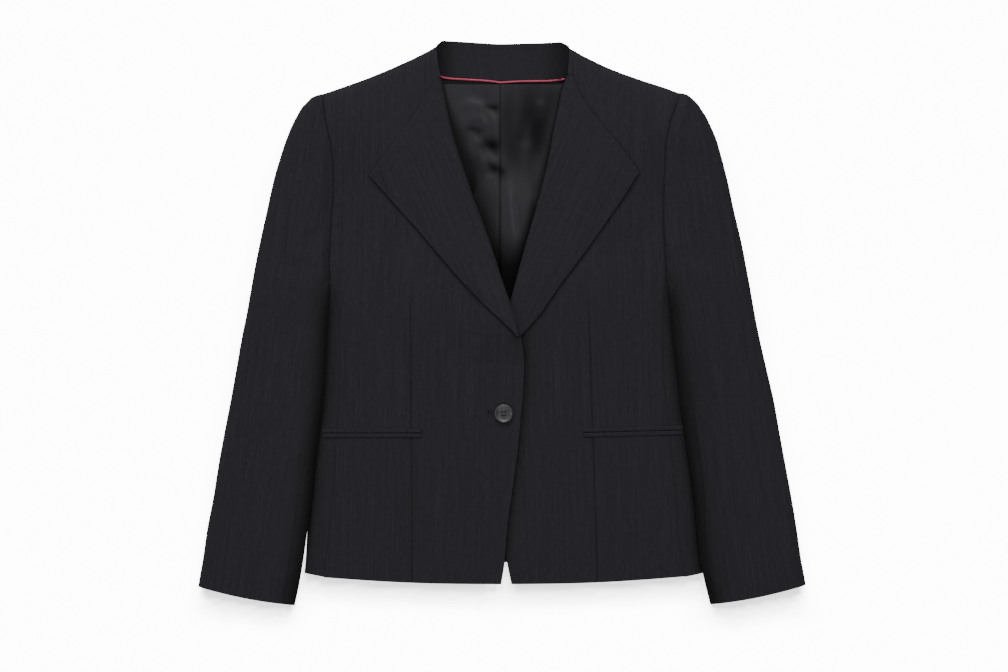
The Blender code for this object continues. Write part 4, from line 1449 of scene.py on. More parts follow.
def lining_shade(x, y):
    """Painted highlights and shade of the satin, and the painted shade of both lapels' rolls."""
    found = 1 + crease_height(x, y, LINING_PAINTED_LIGHT_AND_SHADE)
    wide = blend(3.0, 19.0, smooth((278 - y) / 95)) * blend(0.5, 1.0, smooth((y - 60) / 70))
    found *= line_shade(max(0.0, x - edge_x(ROLLS[-1], y)), wide, 0.9)
    narrow = blend(2.0, 8.0, smooth((240 - y) / 90))
    found *= line_shade(max(0.0, edge_x(ROLLS[1], y) - x), narrow, 0.85)
    found *= line_shade(x + 2.2, 0.8, 0.5)
    return max(0.01, found * smooth((y - 60) / 56))


def lining_points(side, inset):
    grid = []
    lines = between_rows(LINING, places_along(0.0, float(len(LINING) - 1), 14))
    for y, right_x, seam_x, left_x in lines:
        outer_x = right_x if side < 0 else left_x
        start = seam_x + side * SEAM_GAP / 2
        length = abs(outer_x - start)
        points = []
        for step in ladder(length, 30):
            x = start + side * step
            z = BACK_CLOTH + SEAM_GAP + LINING_CLOTH
            wrinkle = crease_height(x, y, LINING_WRINKLES) + 0.5 * unevenness(x, y, 20.5)
            z += 0.9 + max(-0.85, wrinkle) * smooth(step / 3.0)
            z -= 0.5 * seam_drop(step)
            points.append((x, y, z - inset * 0.6))
        grid.append(points)
    return grid


for word, side in (("right", -1), ("left", 1)):
    outer = lining_points(side, 0.0)
    inner = lining_points(side, LINING_CLOTH)
    grain = cloth_grid(outer, shift=(0.0, 11.0 * side))
    name = word + "_lining_satin"
    pieces["lining_" + word] = make_wall(name, outer, inner, grain, SATIN, lining_shade)
print("half lining:", round(surface_area(pieces["lining_right"]), 4), "square metres")

# %% [markdown]
# The piping is a round cord, a little flattened, that follows the lower edge of the facing.

# %% Piping
PIPING_RADIUS = 1.2
PIPING_HEIGHT = 3.55


def make_tube(name, path, radius, material, around=12, flatten=1.0):
    """A closed tube along points in millimetres, with rounded ends."""
    rings = []
    tube = bmesh.new()
    for k, point in enumerate(path):
        before = Vector(path[max(0, k - 1)])
        after = Vector(path[min(len(path) - 1, k + 1)])
        ahead = (after - before).normalized()
        across = ahead.cross(Vector((0, 0, 1))).normalized()
        above = across.cross(ahead)
        shrink = 0.55 if k in (0, len(path) - 1) else 1.0
        ring = []
        for j in range(around):
            angle = 2 * math.pi * j / around
            offset = across * math.cos(angle) + above * (math.sin(angle) * flatten)
            ring.append(tube.verts.new((Vector(point) + offset * radius * shrink) * MM))
        rings.append(ring)
    return finish_mesh(name, skin_rings(name, rings, tube), material)


piping_path = []
for x, y, rise in between_rows(PIPING, places_along(0.0, float(len(PIPING) - 1), 8)):
    piping_path.append((x, y, PIPING_HEIGHT + rise + 0.12 * math.sin(x * 0.9)))
pieces["neck_piping"] = make_tube("piping_silk", piping_path, PIPING_RADIUS, SILK, flatten=0.92)
print("piping:", len(piping_path), "sections")

# %% [markdown]
# ## The sleeves
#
# A two-piece sleeve: the top sleeve wraps over the outer fold, and the under sleeve closes it below,
# round the inner fold up to the front seam. From the armpit down the inner fold rests on the side of
# the body, so the sleeve climbs over it and shades it.

# %% Sleeve sections
def sleeve_lift(x, y, side, softness):
    """Height that a sleeve gains where it lies over the body's side fold."""
    edge = abs(side_values(side, y)[1])
    inside = edge - abs(x)
    crest = body_height(edge - 2, y) / 2 * (1 + quarter(max(inside, 1.8) / SIDE_TURN)) + 0.6
    return crest * smooth((inside + softness) / (softness + 1.5))


def sleeve_point(row, side, inset, along, lower):
    """A point of a sleeve's section at a distance from its outer fold, below or above."""
    outer_x, outer_y, inner_x, inner_y, floor, height, fold, seam_in, bow = row
    width = math.hypot(outer_x - inner_x, outer_y - inner_y)
    turn = min(SLEEVE_TURN, width * 0.45)
    middle = blend(floor, height, 0.45)
    x = blend(outer_x, inner_x, along / width)
    y = blend(outer_y, inner_y, along / width) - bow * math.sin(math.pi * along / width)
    outer_round = quarter((along - inset) / (turn - inset))
    if lower:
        z = middle - (middle - floor - inset) * outer_round
        if fold:
            z = max(z, sleeve_lift(x, y, side, 9.0) + inset)
            centre = sleeve_lift(inner_x, inner_y, side, 9.0) + fold * 0.45
            z = blend(centre, z, quarter((width - inset - along) / 4.5))
        return x, y, z
    relief = sleeve_relief(x, y) * smooth((along - 2.0) / 16.0)
    if fold:
        open_share = smooth((43 - inner_y) / 80)
        sag = 1.6 * open_share * math.sin(math.pi * along / width) ** 2
        inner_top = sleeve_lift(inner_x, inner_y, side, 9.0) + fold
        reach = blend(8.0, 42.0, open_share)
        top = blend(height - sag, inner_top, smooth((along - (width - reach)) / (reach * 0.86)))
        top += relief * smooth((width - along) / 12.0)
        centre = sleeve_lift(inner_x, inner_y, side, 9.0) + fold * 0.45
        top = blend(centre + inset, top, quarter((width - inset - along) / blend(5.0, 12.5, open_share)))
        top -= seam_drop(width - along - seam_in) * smooth((-70 - inner_y) / 90)
    else:
        seam_top = front_top(inner_x, inner_y, side)
        shoulder_y = ARMHOLES[side][-1][0] + 0.6
        seam_top = seam_top / 2 * (1 + quarter((shoulder_y - inner_y) / SHOULDER_TURN))
        cap = smooth((inner_y - 70) / 90)
        reach = blend(8.0, 24.0, cap)
        puff = 1.8 * cap * math.sin(math.pi * smooth((width - along) / 26.0))
        top = blend(height, seam_top, smooth((along - (width - reach)) / reach)) + puff
        top += relief * smooth((width - along) / 8.0)
        top -= seam_drop(width - along)
    return x, y, middle + (top - middle - inset) * outer_round


def sleeve_rows(table, side):
    """Rows of the sleeve, on curves through the armhole part and the open part apart."""
    armhole = table[:ARMHOLE_ROWS]
    free = table[ARMHOLE_ROWS:]
    upper = []
    places = places_along(0.0, float(len(armhole) - 1), 5)
    for place, row in zip(places, between_rows(armhole, places)):
        peak = 1.8 * smooth(1 - place / 2)
        inner_x = side * max(abs(edge_x(ARMHOLES[side], row[3])), abs(row[2]) if row[3] < 80 else 0.0)
        upper.append((row[0], row[1] - peak * 0.3, inner_x, row[3] + peak) + row[4:])
    lower = between_rows(free, places_along(0.0, float(len(free) - 1), 9, close_last=0.25))
    clear = [(row, FAR_FROM_HEM) for row in upper]
    last_y = free[-1][3]
    return clear + [(row, row[3] - last_y) for row in lower]


print("sleeve sections:", len(sleeve_rows(RIGHT_SLEEVE, -1)))

# %% [markdown]
# The two parts of the sleeve read the same section, one from the seam near the outer fold up and over
# to the front seam, the other from that seam along the table and round the inner fold.

# %% Sleeves
SLEEVE_GRAIN = 8.5
ALLOWANCE = [
    # past_seam_mm, sink_mm: the cloth that goes on, hidden, under the neighbour
    (0.1, 1.2),
    (0.5, 1.9),
    (4.0, 2.3),
]


def cuff_round(points, inset, distance):
    """Round the folded cuff edge by moving each face towards the middle of the cloth."""
    shift = edge_drop(distance, SLEEVE_CLOTH)
    if shift < 0.001:
        return points
    count = len(points)
    moved = []
    for k, (x, y, z) in enumerate(points):
        lower = points[k][2] < points[count // 2][2] - 2.5
        up = 1.0 if lower else -1.0
        moved.append((x, y, z + shift * (up if inset == 0.0 else -up)))
    return moved


def top_sleeve_points(table, side, inset):
    grid = []
    for row, cuff in sleeve_rows(table, side):
        width = math.hypot(row[0] - row[2], row[1] - row[3])
        fold = row[6]
        under_end = ELBOW_SEAM_IN if fold else width - BACK_ARMHOLE_GAP
        points = []
        for share in (1.0, 0.85, 0.7, 0.55, 0.42, 0.3, 0.2, 0.12, 0.06, 0.02):
            along = blend(inset, under_end, share)
            points.append(sleeve_point(row, side, inset, along, True))
        end = width - (row[7] + 0.06 if fold else SEAM_GAP * 0.5)
        for share in (0.0, 0.006, 0.02, 0.04, 0.07):
            along = blend(inset, end, share)
            points.append(sleeve_point(row, side, inset, along, False))
        reach = blend(inset, end, 0.1)
        for step in ladder(end - reach, 30)[3:]:
            points.append(sleeve_point(row, side, inset, reach + step, False))
        for past, sink in ALLOWANCE:
            x, y, z = sleeve_point(row, side, inset, min(end + past, width), False)
            points.append((x - side * max(0.0, end + past - width), y, z - sink))
        grid.append(cuff_round(points, inset, cuff))
    return grid


def under_sleeve_points(table, side, inset):
    grid = []
    for row, cuff in sleeve_rows(table, side):
        if not row[6]:
            continue
        width = math.hypot(row[0] - row[2], row[1] - row[3])
        start = ELBOW_SEAM_IN + SEAM_GAP
        end = width - inset
        points = []
        for k in range(24):
            along = blend(start, end, 1 - (1 - k / 23) ** 1.7)
            points.append(sleeve_point(row, side, inset, along, True))
        for share in (0.03, 0.08, 0.16, 0.28, 0.42, 0.56, 0.7, 0.82, 0.9, 0.96, 1.0):
            along = blend(end, width - row[7], share)
            points.append(sleeve_point(row, side, inset, along, False))
        grid.append(cuff_round(points, inset, cuff))
    return grid


for word, side, table in (("right", -1, RIGHT_SLEEVE), ("left", 1, LEFT_SLEEVE)):
    outer = top_sleeve_points(table, side, 0.0)
    inner = top_sleeve_points(table, side, SLEEVE_CLOTH)
    grain = cloth_grid(outer, turn=side * SLEEVE_GRAIN)
    shade = shade_of(sleeve_shade, side)
    name = word + "_top_sleeve_cloth"
    pieces["top_sleeve_" + word] = make_wall(name, outer, inner, grain, WOOL, shade)
    outer = under_sleeve_points(table, side, 0.0)
    inner = under_sleeve_points(table, side, SLEEVE_CLOTH)
    grain = cloth_grid(outer, turn=side * SLEEVE_GRAIN, shift=(30.0, 0.0))
    name = word + "_under_sleeve_cloth"
    pieces["under_sleeve_" + word] = make_wall(name, outer, inner, grain, WOOL, shade)
print("one top sleeve:", round(surface_area(pieces["top_sleeve_right"]), 4), "square metres")

# %% [markdown]
# ## The pockets
#
# A jetted pocket has two welts, each a strip folded over a straight edge. They are round along their
# length and lie a millimetre proud of the front, with a dark slit between them.

# %% Pocket welts
def welt_points(pocket, side, upper, inset):
    inner_x, outer_x, inner_y, outer_y = pocket[1:]
    grid = []
    for k in range(13):
        share = k / 12
        offset = blend(0.35, WELT_HEIGHT, share) * (1 if upper else -1)
        crown = WELT_THICKNESS * (0.35 + 0.65 * quarter(min(share, 1 - share) / 0.3))
        points = []
        for step in range(61):
            along = step / 60
            x = blend(inner_x, outer_x, along)
            y = blend(inner_y, outer_y, along) + offset
            end = quarter(min(along, 1 - along) / 0.012)
            z = front_top(x, y, side) + SEAM_GAP + 0.3 * front_relief(x, y)
            z += crown * (0.4 + 0.6 * end) if inset == 0.0 else 0.0
            points.append((x, y, z))
        grid.append(points)
    return grid


for pocket in POCKETS:
    side = -1 if pocket[0] == "right" else 1
    for word, upper in (("upper", True), ("lower", False)):
        outer = welt_points(pocket, side, upper, 0.0)
        inner = welt_points(pocket, side, upper, WELT_THICKNESS)
        name = "pocket_" + pocket[0] + "_" + word + "_welt"
        pieces[name] = make_wall(name + "_cloth", outer, inner, cloth_grid(outer), WOOL)
print("welts:", len([name for name in pieces if name.endswith("welt")]))

# %% [markdown]
# ## The button
#
# One four-hole button of twenty-two millimetres with a rim, turned as on a lathe: a profile is spun
# round, and the holes are bored out of it.

# %% Button
BUTTON_PLACE = (2.0, -105.0)
BUTTON_SEAT = 0.7
BUTTON_PROFILE = [
    # radius_mm, height_mm
    (0.0, 0.0),
    (8.6, 0.0),
    (9.8, 0.3),
    (10.6, 0.9),
    (11.0, 1.7),
    (10.85, 2.5),
    (10.4, 3.0),
    (9.8, 3.2),
    (9.2, 3.12),
    (8.7, 2.8),
    (8.1, 2.4),
    (7.2, 2.2),
    (4.0, 2.12),
    (0.0, 2.1),
]
HOLE_RADIUS = 0.95
HOLE_SPACING = 3.8
BORE_DEPTH = 8.0
BORE_MIDDLE = 1.5


def evaluated_mesh(holder):
    """The plain mesh that an object's modifiers make."""
    bpy.context.view_layer.update()
    made = holder.evaluated_get(bpy.context.evaluated_depsgraph_get())
    return bpy.data.meshes.new_from_object(made)


def make_button():
    centre_x, centre_y = BUTTON_PLACE
    base = front_top(centre_x, centre_y, -1) + BUTTON_SEAT
    turned = bmesh.new()
    around = 96
    rings = []
    for radius, height in BUTTON_PROFILE[1:-1]:
        ring = []
        for k in range(around):
            angle = 2 * math.pi * k / around
            x = centre_x + radius * math.cos(angle)
            y = centre_y + radius * math.sin(angle)
            ring.append(turned.verts.new(Vector((x, y, base + height)) * MM))
        rings.append(ring)
    mesh = skin_rings("button_resin", rings, turned)
    button = finish_mesh("button_resin", mesh, RESIN, sharp=40.0)
    bore = bmesh.new()
    for step_x in (-0.5, 0.5):
        for step_y in (-0.5, 0.5):
            x = centre_x + step_x * HOLE_SPACING
            y = centre_y + step_y * HOLE_SPACING
            made = bmesh.ops.create_cone(
                bore, cap_ends=True, segments=24,
                radius1=HOLE_RADIUS * MM, radius2=HOLE_RADIUS * MM, depth=BORE_DEPTH * MM,
            )
            middle = Vector((x, y, base + BORE_MIDDLE)) * MM
            bmesh.ops.translate(bore, verts=made["verts"], vec=middle)
    cutter = lay_out("holes", to_mesh("holes", bore))
    boring = button.modifiers.new("holes", "BOOLEAN")
    boring.operation = "DIFFERENCE"
    boring.solver = "EXACT"
    boring.object = cutter
    shaped = evaluated_mesh(button)
    button.modifiers.clear()
    button.data = shaped
    bpy.data.objects.remove(cutter)
    shaped.set_sharp_from_angle(angle=math.radians(40))
    return button, base


pieces["button"], BUTTON_BASE = make_button()
print("button faces:", len(pieces["button"].data.polygons))

# %% [markdown]
# ## Stitches
#
# Stitches repeat along a line, so one Geometry Nodes tree makes them all: it walks along an edge path
# at a set spacing, puts one short thread at each step, turns it to follow the path, varies it a
# little, and makes it real. The inputs are named, so the same tree sews the buttonhole, the button,
# the neck facing and the ends of the pockets.

# %% The stitch tree
def thread_bit(name, length, radius):
    """One stitch: a short thread that lies along X, thinner and lower at both ends."""
    bit = bmesh.new()
    rings = []
    around = 8
    for k in range(7):
        share = k / 6
        x = (share - 0.5) * length
        bulge = math.sin(math.pi * blend(0.1, 0.9, share))
        ring = []
        for j in range(around):
            angle = 2 * math.pi * j / around
            y = radius * bulge * math.cos(angle)
            z = radius * (bulge * math.sin(angle) + 0.6 * (bulge - 1))
            ring.append(bit.verts.new(Vector((x, y, z)) * MM))
        rings.append(ring)
    mesh = skin_rings(name, rings, bit)
    mesh.polygons.foreach_set("use_smooth", [True] * len(mesh.polygons))
    return lay_out(name, mesh)


def stitch_tree():
    tree = bpy.data.node_groups.new("stitches along a path", "GeometryNodeTree")
    face = tree.interface
    face.new_socket("Path", in_out="INPUT", socket_type="NodeSocketGeometry")
    face.new_socket("Stitch", in_out="INPUT", socket_type="NodeSocketObject")
    face.new_socket("Spacing", in_out="INPUT", socket_type="NodeSocketFloat")
    face.new_socket("Turn", in_out="INPUT", socket_type="NodeSocketFloat")
    face.new_socket("Wobble", in_out="INPUT", socket_type="NodeSocketFloat")
    face.new_socket("Seed", in_out="INPUT", socket_type="NodeSocketInt")
    face.new_socket("Thread", in_out="INPUT", socket_type="NodeSocketMaterial")
    face.new_socket("Stitches", in_out="OUTPUT", socket_type="NodeSocketGeometry")
    links = tree.links
    start = node(tree, "NodeGroupInput", -1200, 0)
    line = node(tree, "GeometryNodeMeshToCurve", -1000, 200)
    walk = node(tree, "GeometryNodeResampleCurve", -800, 200, mode="LENGTH")
    places = node(tree, "GeometryNodeCurveToPoints", -600, 200, mode="EVALUATED")
    source = node(tree, "GeometryNodeObjectInfo", -800, -100)
    turn = node(tree, "ShaderNodeCombineXYZ", -800, -300)
    chance = node(tree, "FunctionNodeRandomValue", -600, -500, data_type="FLOAT_VECTOR")
    spread = node(tree, "ShaderNodeVectorMath", -800, -500, operation="SCALE")
    opposite = node(tree, "ShaderNodeVectorMath", -700, -650, operation="SCALE")
    put = node(tree, "GeometryNodeInstanceOnPoints", -350, 100)
    aim = node(tree, "GeometryNodeRotateInstances", -150, 100)
    vary = node(tree, "GeometryNodeRotateInstances", 50, 100)
    real = node(tree, "GeometryNodeRealizeInstances", 250, 100)
    colour = node(tree, "GeometryNodeSetMaterial", 450, 100)
    end = node(tree, "NodeGroupOutput", 650, 100)
    spread.inputs[0].default_value = (0.0, 0.3, 1.0)
    opposite.inputs["Scale"].default_value = -1.0
    links.new(start.outputs["Path"], line.inputs["Mesh"])
    links.new(line.outputs["Curve"], walk.inputs["Curve"])
    links.new(start.outputs["Spacing"], walk.inputs["Length"])
    links.new(walk.outputs["Curve"], places.inputs["Curve"])
    links.new(start.outputs["Stitch"], source.inputs["Object"])
    links.new(places.outputs["Points"], put.inputs["Points"])
    links.new(source.outputs["Geometry"], put.inputs["Instance"])
    links.new(places.outputs["Rotation"], put.inputs["Rotation"])
    links.new(start.outputs["Turn"], turn.inputs["Z"])
    links.new(put.outputs["Instances"], aim.inputs["Instances"])
    links.new(turn.outputs["Vector"], aim.inputs["Rotation"])
    links.new(start.outputs["Wobble"], spread.inputs["Scale"])
    links.new(spread.outputs["Vector"], opposite.inputs[0])
    links.new(spread.outputs["Vector"], chance.inputs["Max"])
    links.new(opposite.outputs["Vector"], chance.inputs["Min"])
    links.new(start.outputs["Seed"], chance.inputs["Seed"])
    links.new(aim.outputs["Instances"], vary.inputs["Instances"])
    links.new(chance.outputs["Value"], vary.inputs["Rotation"])
    links.new(vary.outputs["Instances"], real.inputs["Geometry"])
    links.new(real.outputs["Geometry"], colour.inputs["Geometry"])
    links.new(start.outputs["Thread"], colour.inputs["Material"])
    links.new(colour.outputs["Geometry"], end.inputs["Stitches"])
    return tree


STITCHES = stitch_tree()
print("tree inputs:", [item.name for item in STITCHES.interface.items_tree if item.in_out == "INPUT"])

# %% [markdown]
# `sew` gives the tree a path and its numbers, takes the finished mesh and throws the modifier away,
# so that what is left is a plain piece. The stitch lies flat: its own X points along the path when
# the turn is a quarter, and across it when the turn is nought.

# %% Sewing
def sew(name, path, bit, spacing, turn, wobble, seed, thread):
    """Stitches along points in millimetres, as one plain mesh."""
    line = bpy.data.meshes.new(name)
    edges = [(k, k + 1) for k in range(len(path) - 1)]
    line.from_pydata([tuple(c * MM for c in point) for point in path], edges, [])
    holder = lay_out(name + "_path", line)
    sewing = holder.modifiers.new("sewing", "NODES")
    sewing.node_group = STITCHES
    values = {
        "Stitch": bit,
        "Spacing": spacing * MM,
        "Turn": math.radians(turn),
        "Wobble": math.radians(wobble),
        "Seed": seed,
        "Thread": thread,
    }
    for item in STITCHES.interface.items_tree:
        if item.in_out == "INPUT" and item.name in values:
            sewing[item.identifier] = values[item.name]
    mesh = evaluated_mesh(holder)
    mesh.name = name
    bpy.data.objects.remove(holder)
    return mesh


def stitch_piece(name, meshes, thread):
    """Join several rows of stitches into one piece."""
    joined = bmesh.new()
    for mesh in meshes:
        joined.from_mesh(mesh)
    return finish_mesh(name, to_mesh(name, joined), thread, sharp=80.0)


def on_front(x, y, side, above):
    return (x, y, front_top(x, y, side) + front_relief(x, y) + above)


LIP_BIT = thread_bit("buttonhole_stitch", 1.1, 0.20)
LONG_BIT = thread_bit("long_stitch", 4.4, 0.17)
SHORT_BIT = thread_bit("short_stitch", 1.6, 0.16)
GIMP_BIT = thread_bit("gimp_stitch", 4.2, 0.36)
print("stitch bits made")

# %% [markdown]
# The buttonhole lies across the front, mostly under the button. Its two lips are close rows of short
# threads set across the slit, with a bar of the same at the free end. A black cord, called gimp, edges
# each lip. Gimp is part of a real buttonhole, but its black here is painted shadow: it draws the two
# dark lines that the lips' shade makes beside the button.

# %% Buttonhole
SLIT_START = -15.6
SLIT_END = 1.0
SLIT_Y = -103.3
LIP_OUT = 0.6
GIMP_OUT = 1.35
lips, cords = [], []
for k, way in enumerate((1, -1)):
    path = []
    for step in range(31):
        x = blend(SLIT_START, SLIT_END, step / 30)
        path.append(on_front(x, SLIT_Y + way * LIP_OUT, -1, 0.0))
    lips.append(sew("lip_" + str(k), path, LIP_BIT, 0.34, 0.0, 5.0, 11 + k, THREAD))
    # a black cord along each lip's outer edge, painting the lip's shadow
    cord = [(x, y + way * GIMP_OUT, z + 0.3) for x, y, z in path]
    cords.append(sew("cord_" + str(k), cord, GIMP_BIT, 3.0, 90.0, 1.0, 21 + k, GIMP_SHADOW_CORD))
bar = [on_front(SLIT_START - 0.5, SLIT_Y + step * 0.3, -1, 0.16) for step in range(-6, 7)]
lips.append(sew("end_bar", bar, LIP_BIT, 0.34, 0.0, 4.0, 31, THREAD))
pieces["buttonhole"] = stitch_piece("buttonhole_stitches", lips, THREAD)
pieces["buttonhole_cord"] = stitch_piece("buttonhole_cord", cords, GIMP_SHADOW_CORD)
print("buttonhole stitches:", len(pieces["buttonhole"].data.polygons), "faces")

# %% [markdown]
# The button is sewn with two bars of thread through its four holes, each bar of several strands.

# %% Button thread
strands = []
for k, way in enumerate((-0.5, 0.5)):
    for strand in (-0.25, 0.2):
        y = BUTTON_PLACE[1] + way * HOLE_SPACING + strand
        height = BUTTON_BASE + 2.28
        path = [(BUTTON_PLACE[0] - 0.2, y, height), (BUTTON_PLACE[0] + 0.2, y, height)]
        strands.append(sew("strand_" + str(k), path, LONG_BIT, 0.9, 90.0, 3.0, 41 + k, THREAD))
pieces["button_thread"] = stitch_piece("button_thread", strands, THREAD)
print("button thread:", len(pieces["button_thread"].data.polygons), "faces")

# %% [markdown]
# A row of small stitches holds the facing under the neck edge, and a bar tack closes each pocket's
# inner end, where a hand first pulls.

# %% Neck stitching and bar tacks
neck_line = []
for row in between_rows(FACING, places_along(1.0, float(len(FACING) - 2), 8)):
    x, y, z = facing_place(row, NECK_ROW_IN / FACING_WIDTH)
    neck_line.append((x, y, z - 0.12))
neck_row = sew("neck_row", neck_line, SHORT_BIT, 2.3, 90.0, 3.0, 5, THREAD)
pieces["neck_stitching"] = stitch_piece("neck_stitching", [neck_row], THREAD)
tacks = []
for pocket in POCKETS:
    side = -1 if pocket[0] == "right" else 1
    x = pocket[1] - side * 0.2
    path = [on_front(x, pocket[3] + step * 0.5, side, 0.75) for step in range(-10, 11)]
    tacks.append(sew("tack_" + pocket[0], path, SHORT_BIT, 0.42, 0.0, 5.0, 60 + side, THREAD))
pieces["pocket_tacks"] = stitch_piece("pocket_tacks", tacks, THREAD)
for bit in (LIP_BIT, LONG_BIT, SHORT_BIT, GIMP_BIT):
    bpy.data.objects.remove(bit)
print("small stitching done")

# %% [markdown]
# ## Joining the pieces to the solids
#
# Each cloth piece stands for the solid of its name, which it hides. The whole jacket is one body.
# The table below lists the flat size that each piece was cut to. That is the cut of what the model
# shows: a maker cuts more where a piece goes on under its neighbour.

# %% Riding, replacing and cut sizes
for name, piece in pieces.items():
    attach(piece, "root")
    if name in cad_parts:
        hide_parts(name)

CUTS = [
    # piece, width_m, length_m, share of that rectangle that the piece fills, what it lies on
    ("back", 0.42, 0.66, 0.92, ""),
    ("front_SIDE", 0.25, 0.64, 0.86, "back"),
    ("side_panel_SIDE", 0.085, 0.36, 0.85, "back"),
    ("lapel_SIDE", 0.17, 0.34, 0.55, "front_SIDE"),
    ("neck_facing", 0.175, 0.048, 0.9, "back"),
    ("lining_SIDE", 0.085, 0.28, 0.6, "back"),
    ("top_sleeve_SIDE", 0.2, 0.62, 0.72, "back"),
    ("under_sleeve_SIDE", 0.13, 0.39, 0.9, "side_panel_SIDE"),
    ("pocket_right_upper_welt", 0.12, 0.0105, 0.6, "front_right"),
    ("pocket_right_lower_welt", 0.12, 0.0105, 0.6, "front_right"),
    ("pocket_left_upper_welt", 0.12, 0.0105, 0.6, "front_left"),
    ("pocket_left_lower_welt", 0.12, 0.0105, 0.6, "front_left"),
]
for pattern, width, length, filled, below in CUTS:
    for word in ("right", "left") if "SIDE" in pattern else ("",):
        name = pattern.replace("SIDE", word)

# %% [markdown]
# ## The table
#
# The jacket lies on plain white that glows. Its shadow is painted into the glow, as if daylight came
# low from beyond the neck and fell below the hem and the cuffs. Each point of the table tests how much
# of that light the jacket hides, along rays a few centimetres long, and glows less for each one that is
# stopped.

# %% Table
TABLE_GLOW = 13.5
TABLE_BOUNCE = 0.7
SHADE_FLOOR = 0.14
LIGHT_ELEVATIONS = (11.0, 12.5, 14.0, 16.0, 20.0, 28.0, 40.0)
LIGHT_TURNS = (-32.0, -14.0, 0.0, 14.0, 32.0)
GRID = 0.004
RAY_START = 0.0002
RAY_LENGTH = 0.06
TABLE_HALF = 6.0
TABLE_TOP = -0.0003


def jacket_tree():
    """The jacket's larger pieces as one tree for ray tests."""
    points, faces = [], []
    for piece in pieces.values():
        if piece.data.name.endswith("cloth"):
            first = len(points)
            points.extend(vertex.co for vertex in piece.data.vertices)
            faces.extend([first + k for k in polygon.vertices] for polygon in piece.data.polygons)
    return BVHTree.FromPolygons(points, faces)


def window_ways():
    """Directions towards the low light, spread over its height and its width."""
    ways = []
    for elevation in LIGHT_ELEVATIONS:
        for turn in LIGHT_TURNS:
            flat = math.cos(math.radians(elevation))
            east = flat * math.sin(math.radians(turn))
            north = flat * math.cos(math.radians(turn))
            ways.append(Vector((east, north, math.sin(math.radians(elevation)))))
    return ways


def table_mesh(edge_out, below):
    """A table with a fine grid near the jacket; each point carries how much low light it gets."""
    jacket = jacket_tree()
    ways = window_ways()
    across = [-edge_out] + [GRID * k - 0.400 for k in range(201)] + [edge_out]
    along = [-edge_out] + [GRID * k - 0.380 for k in range(181)] + [edge_out]
    points, shades, faces = [], [], []
    for y in along:
        for x in across:
            hit = 0
            if max(abs(x), abs(y)) < edge_out:
                place = Vector((x, y, RAY_START))
                hit = sum(jacket.ray_cast(place, way, RAY_LENGTH)[0] is not None for way in ways)
            points.append((x, y, below))
            shades.append(1 - hit / len(ways))
    for row in range(len(along) - 1):
        for column in range(len(across) - 1):
            k = row * len(across) + column
            faces.append((k, k + 1, k + 1 + len(across), k + len(across)))
    mesh = bpy.data.meshes.new("table")
    mesh.from_pydata(points, [], faces)
    mesh.attributes.new("shade", "FLOAT", "POINT").data.foreach_set("value", shades)
    return mesh


def table_material():
    """A white table glowing for the camera, with painted shadow where the jacket hides low light."""
    material, tree, shader = new_material("glowing white table with painted shadow")
    tree.nodes.remove(shader)
    end = tree.nodes["Material Output"]
    carried = node(tree, "ShaderNodeAttribute", -900, 200, attribute_name="shade")
    floor = node(tree, "ShaderNodeMapRange", -600, 200)
    set_inputs(floor, {"To Min": SHADE_FLOOR})
    cloud = in_object(tree, "ShaderNodeTexNoise", {"Scale": 2.5}, -100)
    level = node(tree, "ShaderNodeMapRange", -700, -100)
    set_inputs(level, {"To Min": TABLE_GLOW * 0.97, "To Max": TABLE_GLOW * 1.03})
    seen = node(tree, "ShaderNodeMath", -400, 100, operation="MULTIPLY")
    path = node(tree, "ShaderNodeLightPath", -500, -200)
    glow = node(tree, "ShaderNodeMix", -250, 100, data_type="FLOAT")
    glow.inputs[2].default_value = TABLE_BOUNCE
    light = node(tree, "ShaderNodeEmission", -100, 100)
    tree.links.new(carried.outputs["Fac"], floor.inputs["Value"])
    tree.links.new(floor.outputs["Result"], seen.inputs[0])
    tree.links.new(cloud, level.inputs["Value"])
    tree.links.new(level.outputs["Result"], seen.inputs[1])
    tree.links.new(path.outputs["Is Camera Ray"], glow.inputs[0])
    tree.links.new(seen.outputs["Value"], glow.inputs[3])
    tree.links.new(glow.outputs[0], light.inputs["Strength"])
    tree.links.new(light.outputs["Emission"], end.inputs["Surface"])
    return material


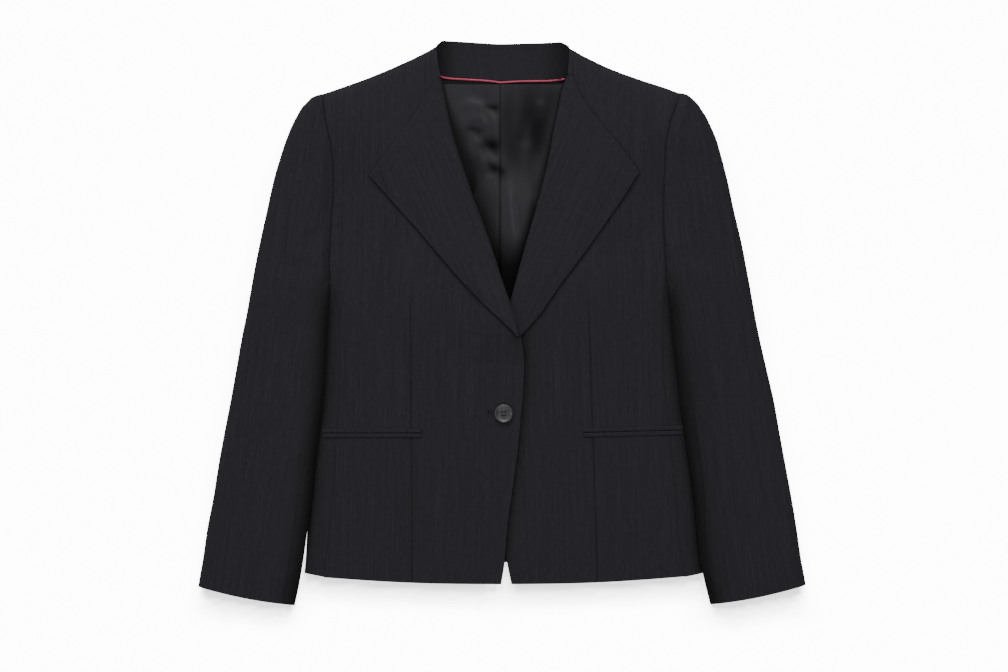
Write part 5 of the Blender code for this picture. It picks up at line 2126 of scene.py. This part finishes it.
table_top = lay_out("table_top", table_mesh(TABLE_HALF, TABLE_TOP))
table_top.data.materials.append(table_material())
print("table points:", len(table_top.data.vertices))

# %% [markdown]
# ## The light and the camera
#
# A photographer of flat clothes lights them from a window and a large soft lamp beyond the neck, and
# brightens the shaded sides with two reflectors, here two weak lamps. The camera looks straight down
# through a long lens, so that the sides of the jacket don't spread.

# %% Lights and camera
def area_light(name, place, target, size, power):
    lamp = bpy.data.lights.new(name, "AREA")
    lamp.shape = "RECTANGLE"
    lamp.size, lamp.size_y = size
    lamp.energy = power
    made = lay_out(name, lamp)
    made.location = place
    made.rotation_euler = (Vector(target) - Vector(place)).to_track_quat("-Z", "Y").to_euler()


LAMPS = [
    # name, place_m, target_m, size_m, power_watt
    ("window", (-0.3, 2.6, 1.5), (0.0, 0.0, 0.0), (2.4, 0.8), 68.0),
    ("softbox", (0.2, 1.5, 2.5), (0.0, 0.0, 0.0), (1.6, 0.8), 42.0),
    ("fill", (-2.4, -0.3, 1.6), (0.0, 0.0, 0.0), (0.8, 1.6), 18.0),
    ("low fill", (0.3, -1.8, 2.2), (0.0, -0.1, 0.0), (1.6, 0.8), 29.0),
]
ROOM_LIGHT = 0.22
for values in LAMPS:
    area_light(*values)
world = bpy.data.worlds.new("room")
world.use_nodes = True
room = world.node_tree.nodes["Background"]
set_inputs(room, {"Color": (1.0, 1.0, 1.0, 1.0), "Strength": ROOM_LIGHT})
bpy.context.scene.world = world

PIXEL = 1.17 * MM
WIDE = 1008
TALL = 672
MIDDLE_COLUMN = 502.0
MIDDLE_ROW = 323.65
CLOTH_TOP = 8.0
camera_data = bpy.data.cameras.new("camera")
camera_data.sensor_fit = "HORIZONTAL"
camera_data.sensor_width = 36.0
camera_data.lens = 85.0
distance = WIDE * PIXEL * camera_data.lens / camera_data.sensor_width
camera = lay_out("camera", camera_data)
centre_x = (WIDE / 2 - MIDDLE_COLUMN) * PIXEL
centre_y = (MIDDLE_ROW - TALL / 2) * PIXEL
camera.location = (centre_x, centre_y, distance + CLOTH_TOP * MM)
bpy.context.scene.camera = camera
print("camera at", round(distance, 3), "m")
